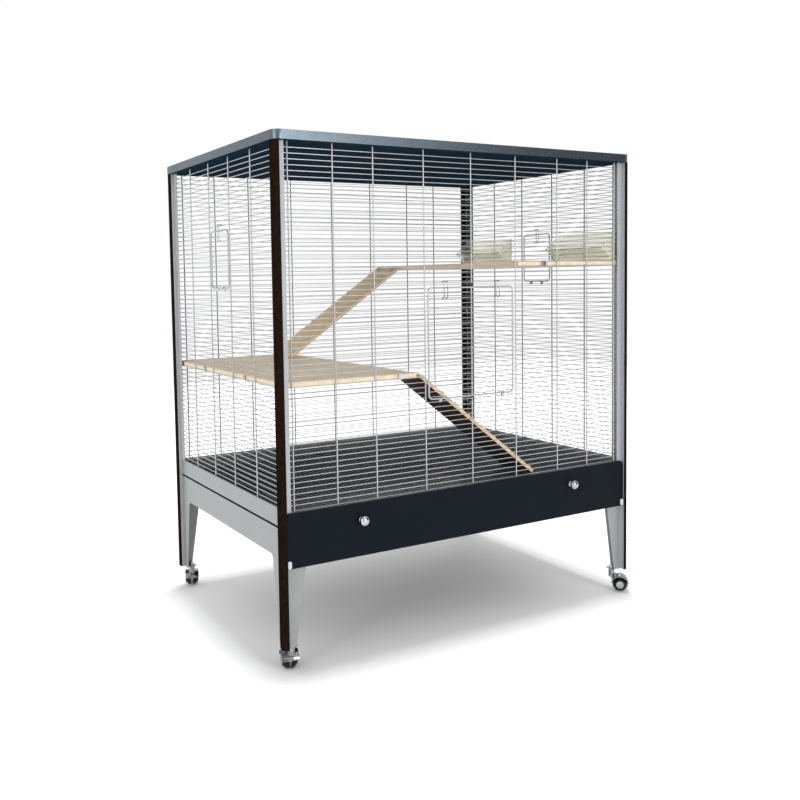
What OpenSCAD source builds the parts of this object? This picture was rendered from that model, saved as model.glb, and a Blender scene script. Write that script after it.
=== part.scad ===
// Ferret cage on castors. Four L-section posts with dark corner trims carry a
// board roof and four welded wire grids. Below them sit the base rails, a wire
// floor over a pull-out tray, and a sheet-steel stand with tapered legs.
// Inside are two wooden shelves joined by two hinged ramps, and two troughs.
// Frame: X right along the front, Y towards the back, Z up from the floor,
// with the origin under the middle of the cage. Millimetres.

/* [Cage] */
// Width over the corner trims
cage_w = 1010; // [960:2:1100]
// Depth over the corner trims
cage_d = 690; // [670:2:780]
// Length of a corner post
post_h = 1075; // [1060:1:1180]
// Thickness of the roof board
roof_t = 20; // [12:1:30]
// Roof board's overhang past the trims
roof_over = 3; // [0:0.5:10]
// Radius of the roof board's corners
roof_r = 18; // [8:1:30]

/* [Posts] */
// Wall of the dark corner trim
trim_t = 2.2; // [1.5:0.1:2.6]
// Radius of the trim's outer corner
trim_r = 6; // [3:0.5:6.5]
// Trim's leg on the side of the cage
trim_side = 25; // [20:1:30]
// Trim's leg on the front of the cage
trim_front = 11.5; // [8:0.5:14]
// Trim's leg on the back of the cage
trim_back = 25; // [16:1:34]
// Depth of the post's side leg, outer face to inner face
skin_x = 10; // [8:0.5:11]
// Depth of the post's front leg, outer face to inner face
skin_y = 14; // [12:0.5:16]
// Width of the post's front leg
post_lip = 15.5; // [14:0.5:18]
// Reach of the light strip beside the front wires, from the cage's side
strip_reach = 27; // [20:0.5:32]
// Reach of the post's inner side flange from the corner
flange_reach = 45; // [40:1:52]
// Thickness of sheet and flanges
sheet_t = 2; // [1.2:0.1:2.5]

/* [Stand and base] */
// Height of the tray ledges above the posts' lower ends
ledge_z = 190; // [150:1:200]
// Height of the side skirts
skirt_h = 64.5; // [50:0.5:66]
// Open line between the skirts and the base rails
base_gap = 5; // [3:0.5:8]
// Height of the base rails
rail_h = 40; // [34:1:48]
// Width of the inward ledges
ledge_w = 20; // [14:1:26]
// Leg's side plate at the bottom, from the corner
leg_side_low = 48; // [44:1:56]
// Leg's side plate at the top, from the corner
leg_side_top = 74; // [60:1:90]
// Leg's front plate at the bottom, from the corner
leg_front_low = 34; // [30:1:44]
// Leg's front plate at the top, from the corner
leg_front_top = 63; // [55:1:80]
// Radius where a leg meets its skirt
leg_r = 12; // [4:1:24]

/* [Wires] */
// Thickness of the row wires
row_d = 2; // [1.6:0.1:2.4]
// Thickness of the upright wires
col_d = 3; // [2.4:0.1:3.4]
// Distance between rows
row_pitch = 12; // [11:0.5:14]
// Overlap of two wires at a weld
weld = 0.3; // [0.2:0.05:0.4]
// Distance of the last upright wires from the cage's corners
col_end = 36; // [30:1:44]
// Distance between the outer upright wires of the front and back
front_edge_pitch = 101; // [90:0.5:104]
// Distance from the last upright wire of a side to its neighbour
side_edge_pitch = 115.5; // [100:0.5:118]
// Shift of the front's inner uprights to the right
front_shift = 5.5; // [0:0.5:6]
// Shift of the back's inner uprights to the left
back_shift = 8.5; // [0:0.5:10]
// Shift of each side's inner uprights, towards the back on the left side
side_shift = 6; // [0:0.5:6]
// Thickness of the floor grid's wires
floor_wire_d = 2.6; // [2:0.1:3]
// Cross wires under the floor grid
floor_cross = 5; // [3:1:8]

/* [Doors] */
// Thickness of a door's frame wire
frame_d = 4; // [3.4:0.1:4.4]
// Radius of a door frame's corners
frame_r = 10; // [7:1:14]
// Space between a door's frame and the grid's upright wires
door_gap = 9.5; // [8:0.5:12]
// Grid row below the front door
front_sill_row = 16; // [12:1:20]
// Rows that the front door spans
front_door_rows = 22; // [16:1:26]
// Grid row below a side door
side_sill_row = 38; // [34:1:40]
// Rows that a side door spans
side_door_rows = 12; // [10:1:12]
// Distance of a door's hinge clips from its corners
clip_in = 32; // [20:1:40]
// Radial clearance of hinge clips and latch eyes
eye_play = 0.05; // [0.03:0.01:0.1]
// Thickness of the latch wire
latch_d = 2.2; // [1.8:0.1:2.4]
// Width of a latch between its two prongs
latch_w = 10; // [8:0.5:14]
// Distance of the front door's latches from its sides
latch_in = 48; // [30:1:70]

/* [Drawer] */
// Height of the drawer front
drawer_h = 120; // [110:1:121]
// Thickness of the drawer front
drawer_t = 6; // [4:0.5:8]
// Drawer front's drop below the tray ledges
drawer_drop = 17; // [10:1:24]
// Cut corners at the drawer front's top
drawer_chamfer = 8; // [4:1:14]
// Depth of the tray
tray_h = 74; // [50:1:76]
// Wall of the tray
tray_t = 2; // [1.5:0.1:3]
// Gap on each side of the drawer front
drawer_play = 1; // [0.6:0.1:2]
// Distance of a knob from the middle
knob_x = 309; // [200:1:380]
// Width of a knob
knob_d = 24; // [20:1:30]

/* [Shelves and ramps] */
// Width of a shelf along X
shelf_w = 338; // [280:1:345]
// Thickness of a shelf
shelf_t = 11; // [9:0.5:14]
// Grid row below the lower shelf's middle
lower_shelf_row = 21; // [18:1:24]
// Grid row below the upper shelf's middle
upper_shelf_row = 42; // [40:1:44]
// Planks in a shelf
planks = 4; // [2:1:6]
// Width of a ramp
ramp_w = 118; // [90:1:120]
// Length of a ramp from its pivot
ramp_l = 432; // [400:1:450]
// Thickness of a ramp
ramp_t = 9; // [7:0.5:11]
// Height of the ramps' rungs
rung_h = 4; // [3:0.5:7]
// Distance between rungs
rung_pitch = 48; // [36:1:60]
// Distance of the upper shelf's front bolt from the upright to its right
bolt_in = 42; // [20:1:60]
// Thickness of a ramp's pivot pin
pivot_d = 4; // [3:0.1:5]
// Distance of a pivot pin from the shelf's edge
pivot_out = 9; // [8:0.5:12]

/* [Troughs] */
// Length of a trough along the side wall
trough_l = 216; // [150:1:222]
// Height of a trough's back wall
trough_h = 79; // [60:1:110]
// Height of the front lip
trough_lip = 35; // [25:1:45]
// Depth of a trough at its foot
trough_foot = 26; // [20:1:40]
// Depth of a trough over its lip
trough_reach = 55; // [45:1:80]
// Wall thickness of a trough
trough_t = 2; // [1.5:0.1:3]
// Space between the front trough and the front wires
trough_front_gap = 5; // [3:0.5:20]
// Space between the back trough and the back wires
trough_back_gap = 11; // [3:0.5:20]

/* [Castors] */
// Height of a castor under its mounting tab
castor_h = 60; // [58:1:70]
// Diameter of a castor's wheels
wheel_d = 40; // [36:1:42]
// Width of one wheel
wheel_w = 14.5; // [10:0.5:15]
// Web between the two wheels
web_t = 6; // [5:0.5:8]
// Distance from the stem's axis back to the axle
trail = 22; // [20:1:24]
// Diameter of the stem
stem_d = 8; // [7:0.5:9]
// Diameter of the axle
axle_d = 5; // [4:0.5:6]
// Stem's distance from the corner along X
stem_u = 28; // [27:0.5:29]
// Stem's distance from the corner along Y
stem_v = 29; // [28.5:0.5:30]

/* [Hidden] */
$fn = 48;

// small clearances and reaches
seat = 0.3;       // gap of a piece that rests or slides
hair = 0.01;      // overshoot of a cut
bore_play = 0.05; // radial clearance of castor bores
clip_t = 1.4;     // sheet of a hinge clip
clip_w = 7;       // width of a hinge clip

// heights above the floor
roof_z = castor_h + post_h;
ledge_top = castor_h + ledge_z + sheet_t;
skirt_top = castor_h + ledge_z + skirt_h;
rail_z = skirt_top + base_gap;
rail_top = rail_z + rail_h;
drawer_z = castor_h + ledge_z - drawer_drop;
drawer_top = drawer_z + drawer_h;
front_rail_top = drawer_top - 1;
floor_top = rail_top - 6;
floor_ledge = floor_top - 2 * floor_wire_d + weld;

// wire planes, from the outer face of the trims
side_col = skin_x + sheet_t + col_d / 2;
front_col = skin_y + col_d / 2;
row_back = (col_d + row_d) / 2 - weld;
side_row = side_col + row_back;
front_row = front_col + row_back;
row_z0 = rail_top + row_pitch / 2 + 0.5;
last_row = floor((roof_z - row_d - row_z0) / row_pitch);
function row_z(k) = row_z0 + k * row_pitch;

// upright wires: X of the front and back, Y of the sides
col_far = cage_w / 2 - col_end;
front_pitch = col_far / 2 - front_edge_pitch;
function front_cols(shift) = [-col_far, for (x = [-col_far + front_edge_pitch,
  -2 * front_pitch, -front_pitch, 0, front_pitch, 2 * front_pitch,
  col_far - front_edge_pitch]) x + shift, col_far];
side_far = cage_d / 2 - col_end;
side_pitch = (side_far - side_edge_pitch) / 1.5;
function side_cols(shift) = [-side_far, for (y = [-1.5, -0.5, 0.5, 1.5])
  y * side_pitch + shift, side_far];

// spans of the panels in their own frames
front_half = cage_w / 2 - skin_x - sheet_t - seat;
side_half = cage_d / 2 - front_row - row_d / 2 - 1.2;

// castor headings: the way each castor trails at rest, with its corner
headings = [[78, -1, -1], [-46, 1, -1], [72, -1, 1], [115, 1, 1]];

axle_z = wheel_d / 2;
hood_r = wheel_d / 2 + 3;
hood_w = web_t + 2 * wheel_w + 1;
hood_low = 4; // lower edge of the hood's cover above the axle
hood_tip = sqrt(hood_r * hood_r - hood_low * hood_low);
function reach_x(h) = (trail + hood_tip) * abs(cos(h)) + hood_w / 2 * abs(sin(h));
function reach_y(h) = (trail + hood_tip) * abs(sin(h)) + hood_w / 2 * abs(cos(h));

// the outline: roof on the left, front right castor, knobs, back left castor
tray_v0 = skin_y - sheet_t - seat;
knob_l = knob_d * 0.86;
outline_left = cage_w / 2 + roof_over;
outline_right = cage_w / 2 - stem_u + reach_x(headings[1][0]);
outline_front = cage_d / 2 - tray_v0 + drawer_t + knob_l;
outline_back = cage_d / 2 - stem_v + reach_y(headings[2][0]);
home_x = (outline_left - outline_right) / 2;
home_y = (outline_front - outline_back) / 2;

// ---- placing -------------------------------------------------------------

// keeps the origin under the middle of the whole outline, castors and knobs included
module home() translate([home_x, home_y, 0]) children();

// children drawn in a corner's frame: u inwards along X, v inwards along Y
module corner(sx, sy) home()
  scale([-sx, -sy, 1]) translate([-cage_w / 2, -cage_d / 2, 0]) children();

// children drawn as seen from outside a wall, x to the right, y inwards
module on_front() home() translate([0, -cage_d / 2, 0]) children();
module on_back() home() rotate([0, 0, 180]) translate([0, -cage_d / 2, 0]) children();
module on_left() home() rotate([0, 0, -90]) translate([0, -cage_w / 2, 0]) children();
module on_right() home() rotate([0, 0, 90]) translate([0, -cage_w / 2, 0]) children();

// ---- roof ----------------------------------------------------------------

module rounded_rect(w, d, r) {
  square([w - 2 * r, d], center = true);
  square([w, d - 2 * r], center = true);
  for (x = [-1, 1], y = [-1, 1]) translate([x * (w / 2 - r), y * (d / 2 - r)]) circle(r);
}

module roof_board() color("darkslategray")
  home() translate([0, 0, roof_z]) linear_extrude(roof_t)
    rounded_rect(cage_w + 2 * roof_over, cage_d + 2 * roof_over, roof_r);

// ---- posts ---------------------------------------------------------------

// rectangle drawn from the corner, the corner itself rounded
module eased(w, d, r) difference() {
  square([w, d]);
  difference() {
    translate([-hair, -hair]) square(r + hair);
    translate([r, r]) circle(r);
  }
}

// rounded bar outside the grids' corner, with a lip beside the front wires and a
// thin flange along the side
module post() color("silver") {
  translate([0, 0, castor_h]) linear_extrude(post_h) {
    translate([trim_t, trim_t])
      eased(skin_x - trim_t, trim_side - trim_t, trim_r - trim_t);
    translate([skin_x - hair, skin_y - sheet_t])
      square([post_lip - skin_x + hair, sheet_t]);
  }
  translate([0, 0, rail_top]) linear_extrude(roof_z - rail_top)
    translate([skin_x, skin_y]) square([sheet_t, flange_reach - skin_y]);
}

// flat strips that carry the lip of the front posts on, above the drawer
module front_strips() color("silver")
  on_front() for (s = [0, 1]) mirror([s, 0, 0])
    translate([post_lip + hair - cage_w / 2, skin_y - sheet_t, front_rail_top])
      cube([strip_reach - post_lip - hair, sheet_t, roof_z - front_rail_top]);

// dark L-shaped cover over the post's corner, rounded outside
module trim(front_leg) color("#2a1a14")
  translate([0, 0, castor_h]) linear_extrude(post_h) difference() {
    eased(front_leg, trim_side + seat, trim_r);
    translate([trim_t, trim_t]) eased(front_leg, trim_side + seat, trim_r - trim_t);
  }

module post_front_left() corner(-1, -1) post();
module post_front_right() corner(1, -1) post();
module post_back_left() corner(-1, 1) post();
module post_back_right() corner(1, 1) post();
module trim_front_left() corner(-1, -1) trim(trim_front);
module trim_front_right() corner(1, -1) trim(trim_front);
module trim_back_left() corner(-1, 1) trim(trim_back);
module trim_back_right() corner(1, 1) trim(trim_back);

// ---- stand ---------------------------------------------------------------

// half of a side sheet seen from the side: tapered leg, fillet and skirt
module side_half(len) {
  foot = leg_side_low - skin_y;
  knee = leg_side_top - skin_y;
  difference() {
    polygon([[0, 0], [foot, 0], [knee, ledge_z - leg_r], [knee + leg_r / 2, ledge_z],
      [len, ledge_z], [len, ledge_z + skirt_h], [0, ledge_z + skirt_h]]);
    translate([knee + leg_r, ledge_z - leg_r]) circle(leg_r + hair);
  }
}

// one side of the stand: a folded sheet with two legs, a ledge for the tray
// and a tab in each foot for the castor's stem
module stand_side(sx) color("lightsteelblue") {
  len = cage_d / 2 - skin_y;
  ledge_start = leg_side_top + leg_r + 4;
  for (sy = [-1, 1]) corner(sx, sy) {
    translate([skin_x, skin_y, castor_h]) {
      translate([sheet_t, 0, 0]) rotate([90, 0, -90]) mirror([1, 0, 0])
        linear_extrude(sheet_t) side_half(len);
      translate([0, sheet_t, 0]) rotate([90, 0, 0]) linear_extrude(sheet_t)
        polygon([[0, 0], [leg_front_low - skin_x, 0], [leg_front_top - skin_x, ledge_z],
          [0, ledge_z]]);
    }
    translate([skin_x, skin_y, castor_h]) difference() {
      cube([stem_u + 10 - skin_x, stem_v + 11 - skin_y, sheet_t]);
      translate([stem_u - skin_x, stem_v - skin_y, -hair])
        cylinder(h = sheet_t + 2 * hair, r = stem_d / 2 + bore_play);
    }
    translate([skin_x, ledge_start, ledge_top - sheet_t])
      cube([sheet_t + ledge_w, cage_d / 2 - ledge_start, sheet_t]);
  }
}

module stand_left() stand_side(-1);
module stand_right() stand_side(1);

// rear skirt with its ledge, between the two sides
module stand_back() color("lightsteelblue")
  on_back() {
    half = cage_w / 2 - skin_x - sheet_t;
    ledge_half = cage_w / 2 - leg_front_top - 4;
    translate([-half, skin_y, castor_h + ledge_z]) cube([2 * half, sheet_t, skirt_h]);
    translate([-ledge_half, skin_y, ledge_top - sheet_t])
      cube([2 * ledge_half, sheet_t + ledge_w, sheet_t]);
  }

// ---- base rails and floor ------------------------------------------------

// flat rail under a grid
module rail(half, skin, z0, z1)
  translate([-half, skin, z0]) cube([2 * half, sheet_t, z1 - z0]);

// flat strip inside a rail that carries the floor grid
module floor_ledge(half, skin)
  translate([ledge_w + 2 * hair - half, skin + sheet_t + hair, floor_ledge - sheet_t])
    cube([2 * (half - ledge_w - 2 * hair), ledge_w, sheet_t]);

module rail_left() color("silver") on_left()
  rail(cage_d / 2 - skin_y, skin_x, rail_z, rail_top);
module rail_right() color("silver") on_right()
  rail(cage_d / 2 - skin_y, skin_x, rail_z, rail_top);
module rail_back() color("silver") on_back()
  rail(cage_w / 2 - skin_x - sheet_t, skin_y, rail_z, rail_top);
// hidden behind the drawer front, and clear of the tray below it
module rail_front() color("silver") on_front()
  rail(cage_w / 2 - skin_x - sheet_t, skin_y + drawer_play,
    ledge_top + seat + tray_h + 2, front_rail_top);

module floor_ledges() color("silver") {
  on_left() floor_ledge(cage_d / 2 - skin_y, skin_x);
  on_right() floor_ledge(cage_d / 2 - skin_y, skin_x);
  on_back() floor_ledge(cage_w / 2 - skin_x - sheet_t, skin_y);
  on_front() floor_ledge(cage_w / 2 - skin_x - sheet_t, skin_y + drawer_play);
}

// a six-sided wire along X or Z, corners towards the crossing wires
module wire_x(x0, x1, d) translate([x0, 0, 0]) rotate([0, 90, 0]) rotate([0, 0, 30])
  cylinder(h = x1 - x0, d = d, $fn = 6);
module wire_z(z0, z1, d) translate([0, 0, z0]) rotate([0, 0, 30])
  cylinder(h = z1 - z0, d = d, $fn = 6);

module floor_grid() color("lightgray") home() {
  half_x = cage_w / 2 - skin_x - sheet_t - 2;
  half_y = cage_d / 2 - skin_y - sheet_t - drawer_play - 2;
  lines = 2 * floor((half_x - 2) / row_pitch);
  top = floor_top - floor_wire_d / 2;
  for (i = [-lines / 2:lines / 2]) translate([i * row_pitch, 0, top])
    rotate([0, 0, 90]) rotate([30, 0, 0]) wire_x(-half_y, half_y, floor_wire_d);
  for (j = [0:floor_cross - 1])
    translate([0, (j / (floor_cross - 1) - 0.5) * 2 * (half_y - 8),
      top - floor_wire_d + weld])
      rotate([30, 0, 0]) wire_x(-half_x, half_x, floor_wire_d);
}

// ---- drawer --------------------------------------------------------------

drawer_half = cage_w / 2 - post_lip - drawer_play;
plate_half = cage_w / 2 - skin_x - drawer_play;
tray_len = cage_d - tray_v0 - skin_y - sheet_t - 6;

module at_tray() on_front() translate([-drawer_half, tray_v0, ledge_top + seat])
  children();

// floor of the tray
module tray() color("#30363f") at_tray() cube([2 * drawer_half, tray_len, tray_t]);

// four walls on the tray's floor, the long ones over the whole depth
module tray_walls() color("#30363f") at_tray()
  translate([0, 0, tray_t + hair]) {
    for (x = [0, 2 * drawer_half - tray_t]) translate([x, 0, 0])
      cube([tray_t, tray_len, tray_h - tray_t]);
    for (y = [0, tray_len - tray_t]) translate([tray_t + hair, y, 0])
      cube([2 * (drawer_half - tray_t - hair), tray_t, tray_h - tray_t]);
  }

module drawer_front() color("#252b34") on_front()
  translate([0, tray_v0, drawer_z]) rotate([90, 0, 0]) linear_extrude(drawer_t)
    polygon([[-plate_half, 0], [plate_half, 0],
      [plate_half, drawer_h - drawer_chamfer], [plate_half - drawer_chamfer, drawer_h],
      [drawer_chamfer - plate_half, drawer_h],
      [-plate_half, drawer_h - drawer_chamfer]]);

// turned ball knob on a short neck
module knob() rotate([90, 0, 0]) rotate_extrude() difference() {
  union() {
    square([knob_d * 0.3, 2.4]);
    square([knob_d * 0.19, knob_d * 0.5]);
    intersection() {
      translate([0, knob_d * 0.52]) circle(knob_d / 2);
      translate([0, knob_d * 0.26]) square([knob_d, knob_d * 0.6]);
    }
  }
  translate([-knob_d, -1]) square([knob_d, 3 * knob_d]);
}

module drawer_knobs() color("gainsboro") on_front()
  for (s = [-1, 1]) translate([s * knob_x, tray_v0 - drawer_t, drawer_z + drawer_h * 0.68])
    knob();

// small clip at each lower corner of the drawer front
module drawer_catches() color("whitesmoke") on_front()
  for (s = [-1, 1])
    translate([s * (plate_half - 6), tray_v0 - drawer_t, drawer_z + 10]) {
      rotate([90, 0, 0]) linear_extrude(3) {
        translate([-4.5, -4]) square([9, 8]);
        for (z = [-4, 4]) translate([0, z]) circle(4.5);
      }
    }

// ---- wire grids ----------------------------------------------------------

// a welded field as seen from outside: uprights xs, rows k0 to k1 from x0 to x1
module field(xs, z0, z1, x0, x1, k0, k1, col_v, row_v) {
  for (x = xs) translate([x, col_v, 0]) wire_z(z0, z1, col_d);
  for (k = [k0:k1]) translate([0, row_v, row_z(k)]) wire_x(x0, x1, row_d);
}

function sill_z(sill) = row_z(sill) + row_d;
function hinge_z(sill) = row_z(sill) + 0.6 * row_pitch;
function head_z(sill, rows) = row_z(sill + rows + 1) - row_d;

// sheet clip that holds the bottom wire of a door's frame to the row below it
module hinge_clip(x, col_v, row_v, sill) {
  bore = frame_d / 2 + eye_play;
  low = row_z(sill) - row_d / 2;
  translate([x, 0, 0]) difference() {
    union() {
      translate([-clip_w / 2, col_v, hinge_z(sill)]) rotate([0, 90, 0])
        cylinder(h = clip_w, r = bore + clip_t);
      translate([-clip_w / 2, col_v - clip_t, low])
        cube([clip_w, row_v + row_d / 2 - col_v + clip_t, hinge_z(sill) - bore - low]);
    }
    translate([-clip_w, col_v, hinge_z(sill)]) rotate([0, 90, 0])
      cylinder(h = 2 * clip_w, r = bore);
  }
}

// wall with a doorway between uprights a and b, in three fields
module wall_sill(xs, half, col_v, row_v, z0, k0, sill, a, b) {
  field(xs, z0, sill_z(sill), -half, half, k0, sill, col_v, row_v);
  for (x = [a + door_gap + clip_in, b - door_gap - clip_in])
    hinge_clip(x, col_v, row_v, sill);
}
module wall_head(xs, half, col_v, row_v, sill, rows)
  field(xs, head_z(sill, rows), roof_z, -half, half, sill + rows + 1, last_row,
    col_v, row_v);
module wall_jambs(xs, half, col_v, row_v, sill, rows, a, b) {
  z0 = sill_z(sill);
  z1 = head_z(sill, rows);
  field([for (x = xs) if (x <= a) x], z0, z1, -half, a, sill + 1, sill + rows,
    col_v, row_v);
  field([for (x = xs) if (x >= b) x], z0, z1, b, half, sill + 1, sill + rows,
    col_v, row_v);
}

front_a = front_shift - front_pitch;
front_b = front_shift + front_pitch;
side_a = -0.5 * side_pitch;
side_b = 0.5 * side_pitch;

module grid_back() color("whitesmoke") on_back()
  field(front_cols(back_shift), rail_top, roof_z, -front_half, front_half, 0, last_row,
    front_col, front_row);
module grid_front_sill() color("whitesmoke") on_front()
  wall_sill(front_cols(front_shift), front_half, front_col, front_row, front_rail_top, -1,
    front_sill_row, front_a, front_b);
module grid_front_jambs() color("whitesmoke") on_front()
  wall_jambs(front_cols(front_shift), front_half, front_col, front_row, front_sill_row,
    front_door_rows, front_a, front_b);
module grid_front_head() color("whitesmoke") on_front()
  wall_head(front_cols(front_shift), front_half, front_col, front_row, front_sill_row,
    front_door_rows);

// fields of a side; the right side is the left one mirrored, its shift apart
module side_sill(shift) wall_sill(side_cols(shift), side_half, side_col, side_row,
  rail_top, 0, side_sill_row, side_a + shift, side_b + shift);
module side_jambs(shift) wall_jambs(side_cols(shift), side_half, side_col, side_row,
  side_sill_row, side_door_rows, side_a + shift, side_b + shift);
module side_head(shift) wall_head(side_cols(shift), side_half, side_col, side_row,
  side_sill_row, side_door_rows);

module grid_left_sill() color("whitesmoke") on_left() side_sill(-side_shift);
module grid_left_jambs() color("whitesmoke") on_left() side_jambs(-side_shift);
module grid_left_head() color("whitesmoke") on_left() side_head(-side_shift);
module grid_right_sill() color("whitesmoke") on_right() mirror([1, 0, 0])
  side_sill(side_shift);
module grid_right_jambs() color("whitesmoke") on_right() mirror([1, 0, 0])
  side_jambs(side_shift);
module grid_right_head() color("whitesmoke") on_right() mirror([1, 0, 0])
  side_head(side_shift);

// blocks in the corners between post and row ends of the front and back grids
module grid_clips() color("silver")
  for (sx = [-1, 1], sy = [-1, 1], k = [6, 30, 56]) corner(sx, sy)
    translate([skin_x + sheet_t, skin_y, row_z(k)])
      cube([5, front_row - row_d / 2 - skin_y, 18]);

// ---- doors and latches ---------------------------------------------------

// round wire from one point to another
module rod(a, b, d) {
  v = b - a;
  translate(a) rotate([0, acos(v[2] / norm(v)), atan2(v[1], v[0])])
    cylinder(h = norm(v), d = d, $fn = 24);
}

// bent frame wire of a door, centred on the outline x0..x1, z0..z1
module frame_wire(x0, x1, z0, z1) {
  r = frame_r;
  rod([x0, 0, z0 + r], [x0, 0, z1 - r], frame_d);
  rod([x1, 0, z0 + r], [x1, 0, z1 - r], frame_d);
  rod([x0 + r, 0, z0], [x1 - r, 0, z0], frame_d);
  rod([x0 + r, 0, z1], [x1 - r, 0, z1], frame_d);
  for (c = [[x1 - r, z1 - r, 0], [x0 + r, z1 - r, 90], [x0 + r, z0 + r, 180],
      [x1 - r, z0 + r, 270]])
    translate([c[0], 0, c[1]]) rotate([90, 0, 0]) rotate([0, 0, c[2]])
      rotate_extrude(angle = 90) translate([r, 0]) circle(d = frame_d, $fn = 24);
}

door_row = (frame_d + row_d) / 2 - 0.4;

// a door between uprights a and b that drops outwards on its bottom frame wire
module door(a, b, sill, rows, cols, col_v, latch_row) {
  x0 = a + door_gap;
  x1 = b - door_gap;
  z0 = hinge_z(sill);
  z1 = row_z(sill + rows);
  translate([0, col_v, 0]) {
    frame_wire(x0, x1, z0, z1);
    for (k = [sill + 1:sill + rows - 1]) translate([0, door_row, row_z(k)])
      if (k == latch_row) rod([x0, 0, 0], [x1, 0, 0], row_d);
      else wire_x(x0, x1, row_d);
    for (x = cols) translate([x, door_row - row_back, 0]) wire_z(z0, z1, col_d);
  }
}

// spring-wire latch: two prongs that pivot on a row wire and hook over the grid
module latch(x, sill, rows, col_v, pivot_row) {
  pivot_v = col_v + door_row;
  pivot_z = row_z(pivot_row);
  front = col_v - frame_d / 2 - latch_d - seat;
  hook_z = row_z(sill + rows + 1) + row_d / 2 + 0.4;
  hook_v = col_v + row_back + row_d / 2 + 2.5;
  eye = row_d / 2 + eye_play;
  difference() {
    union() {
      for (s = [-1, 1]) translate([x + s * latch_w / 2, 0, 0]) {
        rotate([90, 0, -90]) mirror([1, 0, 0]) linear_extrude(latch_d, center = true) {
          translate([front, pivot_z - latch_d / 2]) square([pivot_v - front, latch_d]);
          translate([front, pivot_z - latch_d / 2])
            square([latch_d, hook_z - pivot_z + 1.5 * latch_d]);
          translate([front, hook_z]) square([hook_v - front, latch_d]);
        }
        translate([-latch_d / 2, pivot_v, pivot_z]) rotate([0, 90, 0])
          cylinder(h = latch_d, r = eye + 1.4);
      }
      translate([x - latch_w / 2, hook_v - latch_d, hook_z])
        cube([latch_w, latch_d, latch_d]);
    }
    translate([x - latch_w, pivot_v, pivot_z]) rotate([0, 90, 0])
      cylinder(h = 2 * latch_w, r = eye);
  }
}

front_latch_row = front_sill_row + front_door_rows - 2;
side_latch_row = side_sill_row + side_door_rows - 2;

module door_front() color("whitesmoke") on_front()
  door(front_a, front_b, front_sill_row, front_door_rows, [front_shift], front_col,
    front_latch_row);
module front_latch(x) latch(x, front_sill_row, front_door_rows, front_col,
  front_latch_row);
module latch_front_left() color("silver") on_front()
  front_latch(front_a + door_gap + latch_in);
module latch_front_right() color("silver") on_front()
  front_latch(front_b - door_gap - latch_in);

module side_door(shift) door(side_a + shift, side_b + shift, side_sill_row,
  side_door_rows, [], side_col, side_latch_row);
module side_latch(shift) latch(shift, side_sill_row, side_door_rows, side_col,
  side_latch_row);

module door_left() color("whitesmoke") on_left() side_door(-side_shift);
module latch_left() color("silver") on_left() side_latch(-side_shift);
module door_right() color("whitesmoke") on_right() mirror([1, 0, 0])
  side_door(side_shift);
module latch_right() color("silver") on_right() mirror([1, 0, 0])
  side_latch(side_shift);

// ---- shelves and ramps ---------------------------------------------------

shelf_half = cage_d / 2 - front_row - row_d / 2 - seat;
shelf_out = cage_w / 2 - side_row - row_d / 2 - seat;
shelf_edge = shelf_out - shelf_w;
lower_mid = row_z(lower_shelf_row) + row_pitch / 2;
upper_mid = row_z(upper_shelf_row) + row_pitch / 2;

// board of planks with shallow grooves; its outer edge is at x = -shelf_out
module shelf() translate([-shelf_out, -shelf_half, -shelf_t / 2]) difference() {
  cube([shelf_w, 2 * shelf_half, shelf_t]);
  for (i = [1:planks - 1], z = [-hair, shelf_t - 1.2])
    translate([i * shelf_w / planks - 0.8, -hair, z])
      cube([1.6, 2 * shelf_half + 2 * hair, 1.2 + hair]);
}

module shelf_lower() color("burlywood") home() translate([0, 0, lower_mid]) shelf();
module shelf_upper() color("burlywood") home() translate([0, 0, upper_mid])
  rotate([0, 0, 180]) shelf();

// carriage bolts that hold a shelf's edges to the grids, heads outside
module bolt(plane) {
  rotate([-90, 0, 0]) {
    translate([0, 0, plane - 1.2]) cylinder(h = 1.2, d = 14);
    translate([0, 0, plane - 3.2]) cylinder(h = 2 + hair, d = 9);
    translate([0, 0, plane - hair]) cylinder(h = row_d + seat + hair, d = 5);
  }
}

bolt_plane = front_row - row_d / 2;
side_bolt_plane = side_row - row_d / 2;

// halfway between upright i of a wall and the next one
function bay(cols, i) = (cols[i] + cols[i + 1]) / 2;

module shelf_bolts() color("silver") {
  front = front_cols(front_shift);
  back = front_cols(back_shift);
  side = side_cols(-side_shift);
  translate([0, 0, lower_mid]) {
    on_front() translate([bay(front, 2), 0, 0]) bolt(bolt_plane);
    on_back() translate([bay(back, 5), 0, 0]) bolt(bolt_plane);
    for (i = [1, 3]) on_left() translate([bay(side, i), 0, 0]) bolt(side_bolt_plane);
  }
  translate([0, 0, upper_mid]) {
    on_front() translate([front[6] - bolt_in, 0, 0]) bolt(bolt_plane);
    on_back() translate([bay(back, 2), 0, 0]) bolt(bolt_plane);
    for (i = [1, 3]) on_right() translate([-bay(side, i), 0, 0]) bolt(side_bolt_plane);
  }
}

// each ramp in its own frame: pivot on the Y axis, board along +X
ramp_lower_y = -(shelf_half - seat - ramp_w / 2 - 4);
ramp_upper_y = shelf_half - seat - ramp_w / 2 - 16;
lower_pivot = [-shelf_edge + pivot_out, ramp_lower_y, lower_mid];
upper_pivot = [shelf_edge - pivot_out, ramp_upper_y, upper_mid];

// slope at which the board's lower corner comes to rest on height z
function slope(drop) = asin(drop / norm([ramp_l, ramp_t / 2])) - atan2(ramp_t / 2, ramp_l);
lower_slope = slope(lower_mid - floor_top - seat);
upper_slope = slope(upper_mid - lower_mid - shelf_t / 2 - seat);

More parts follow.
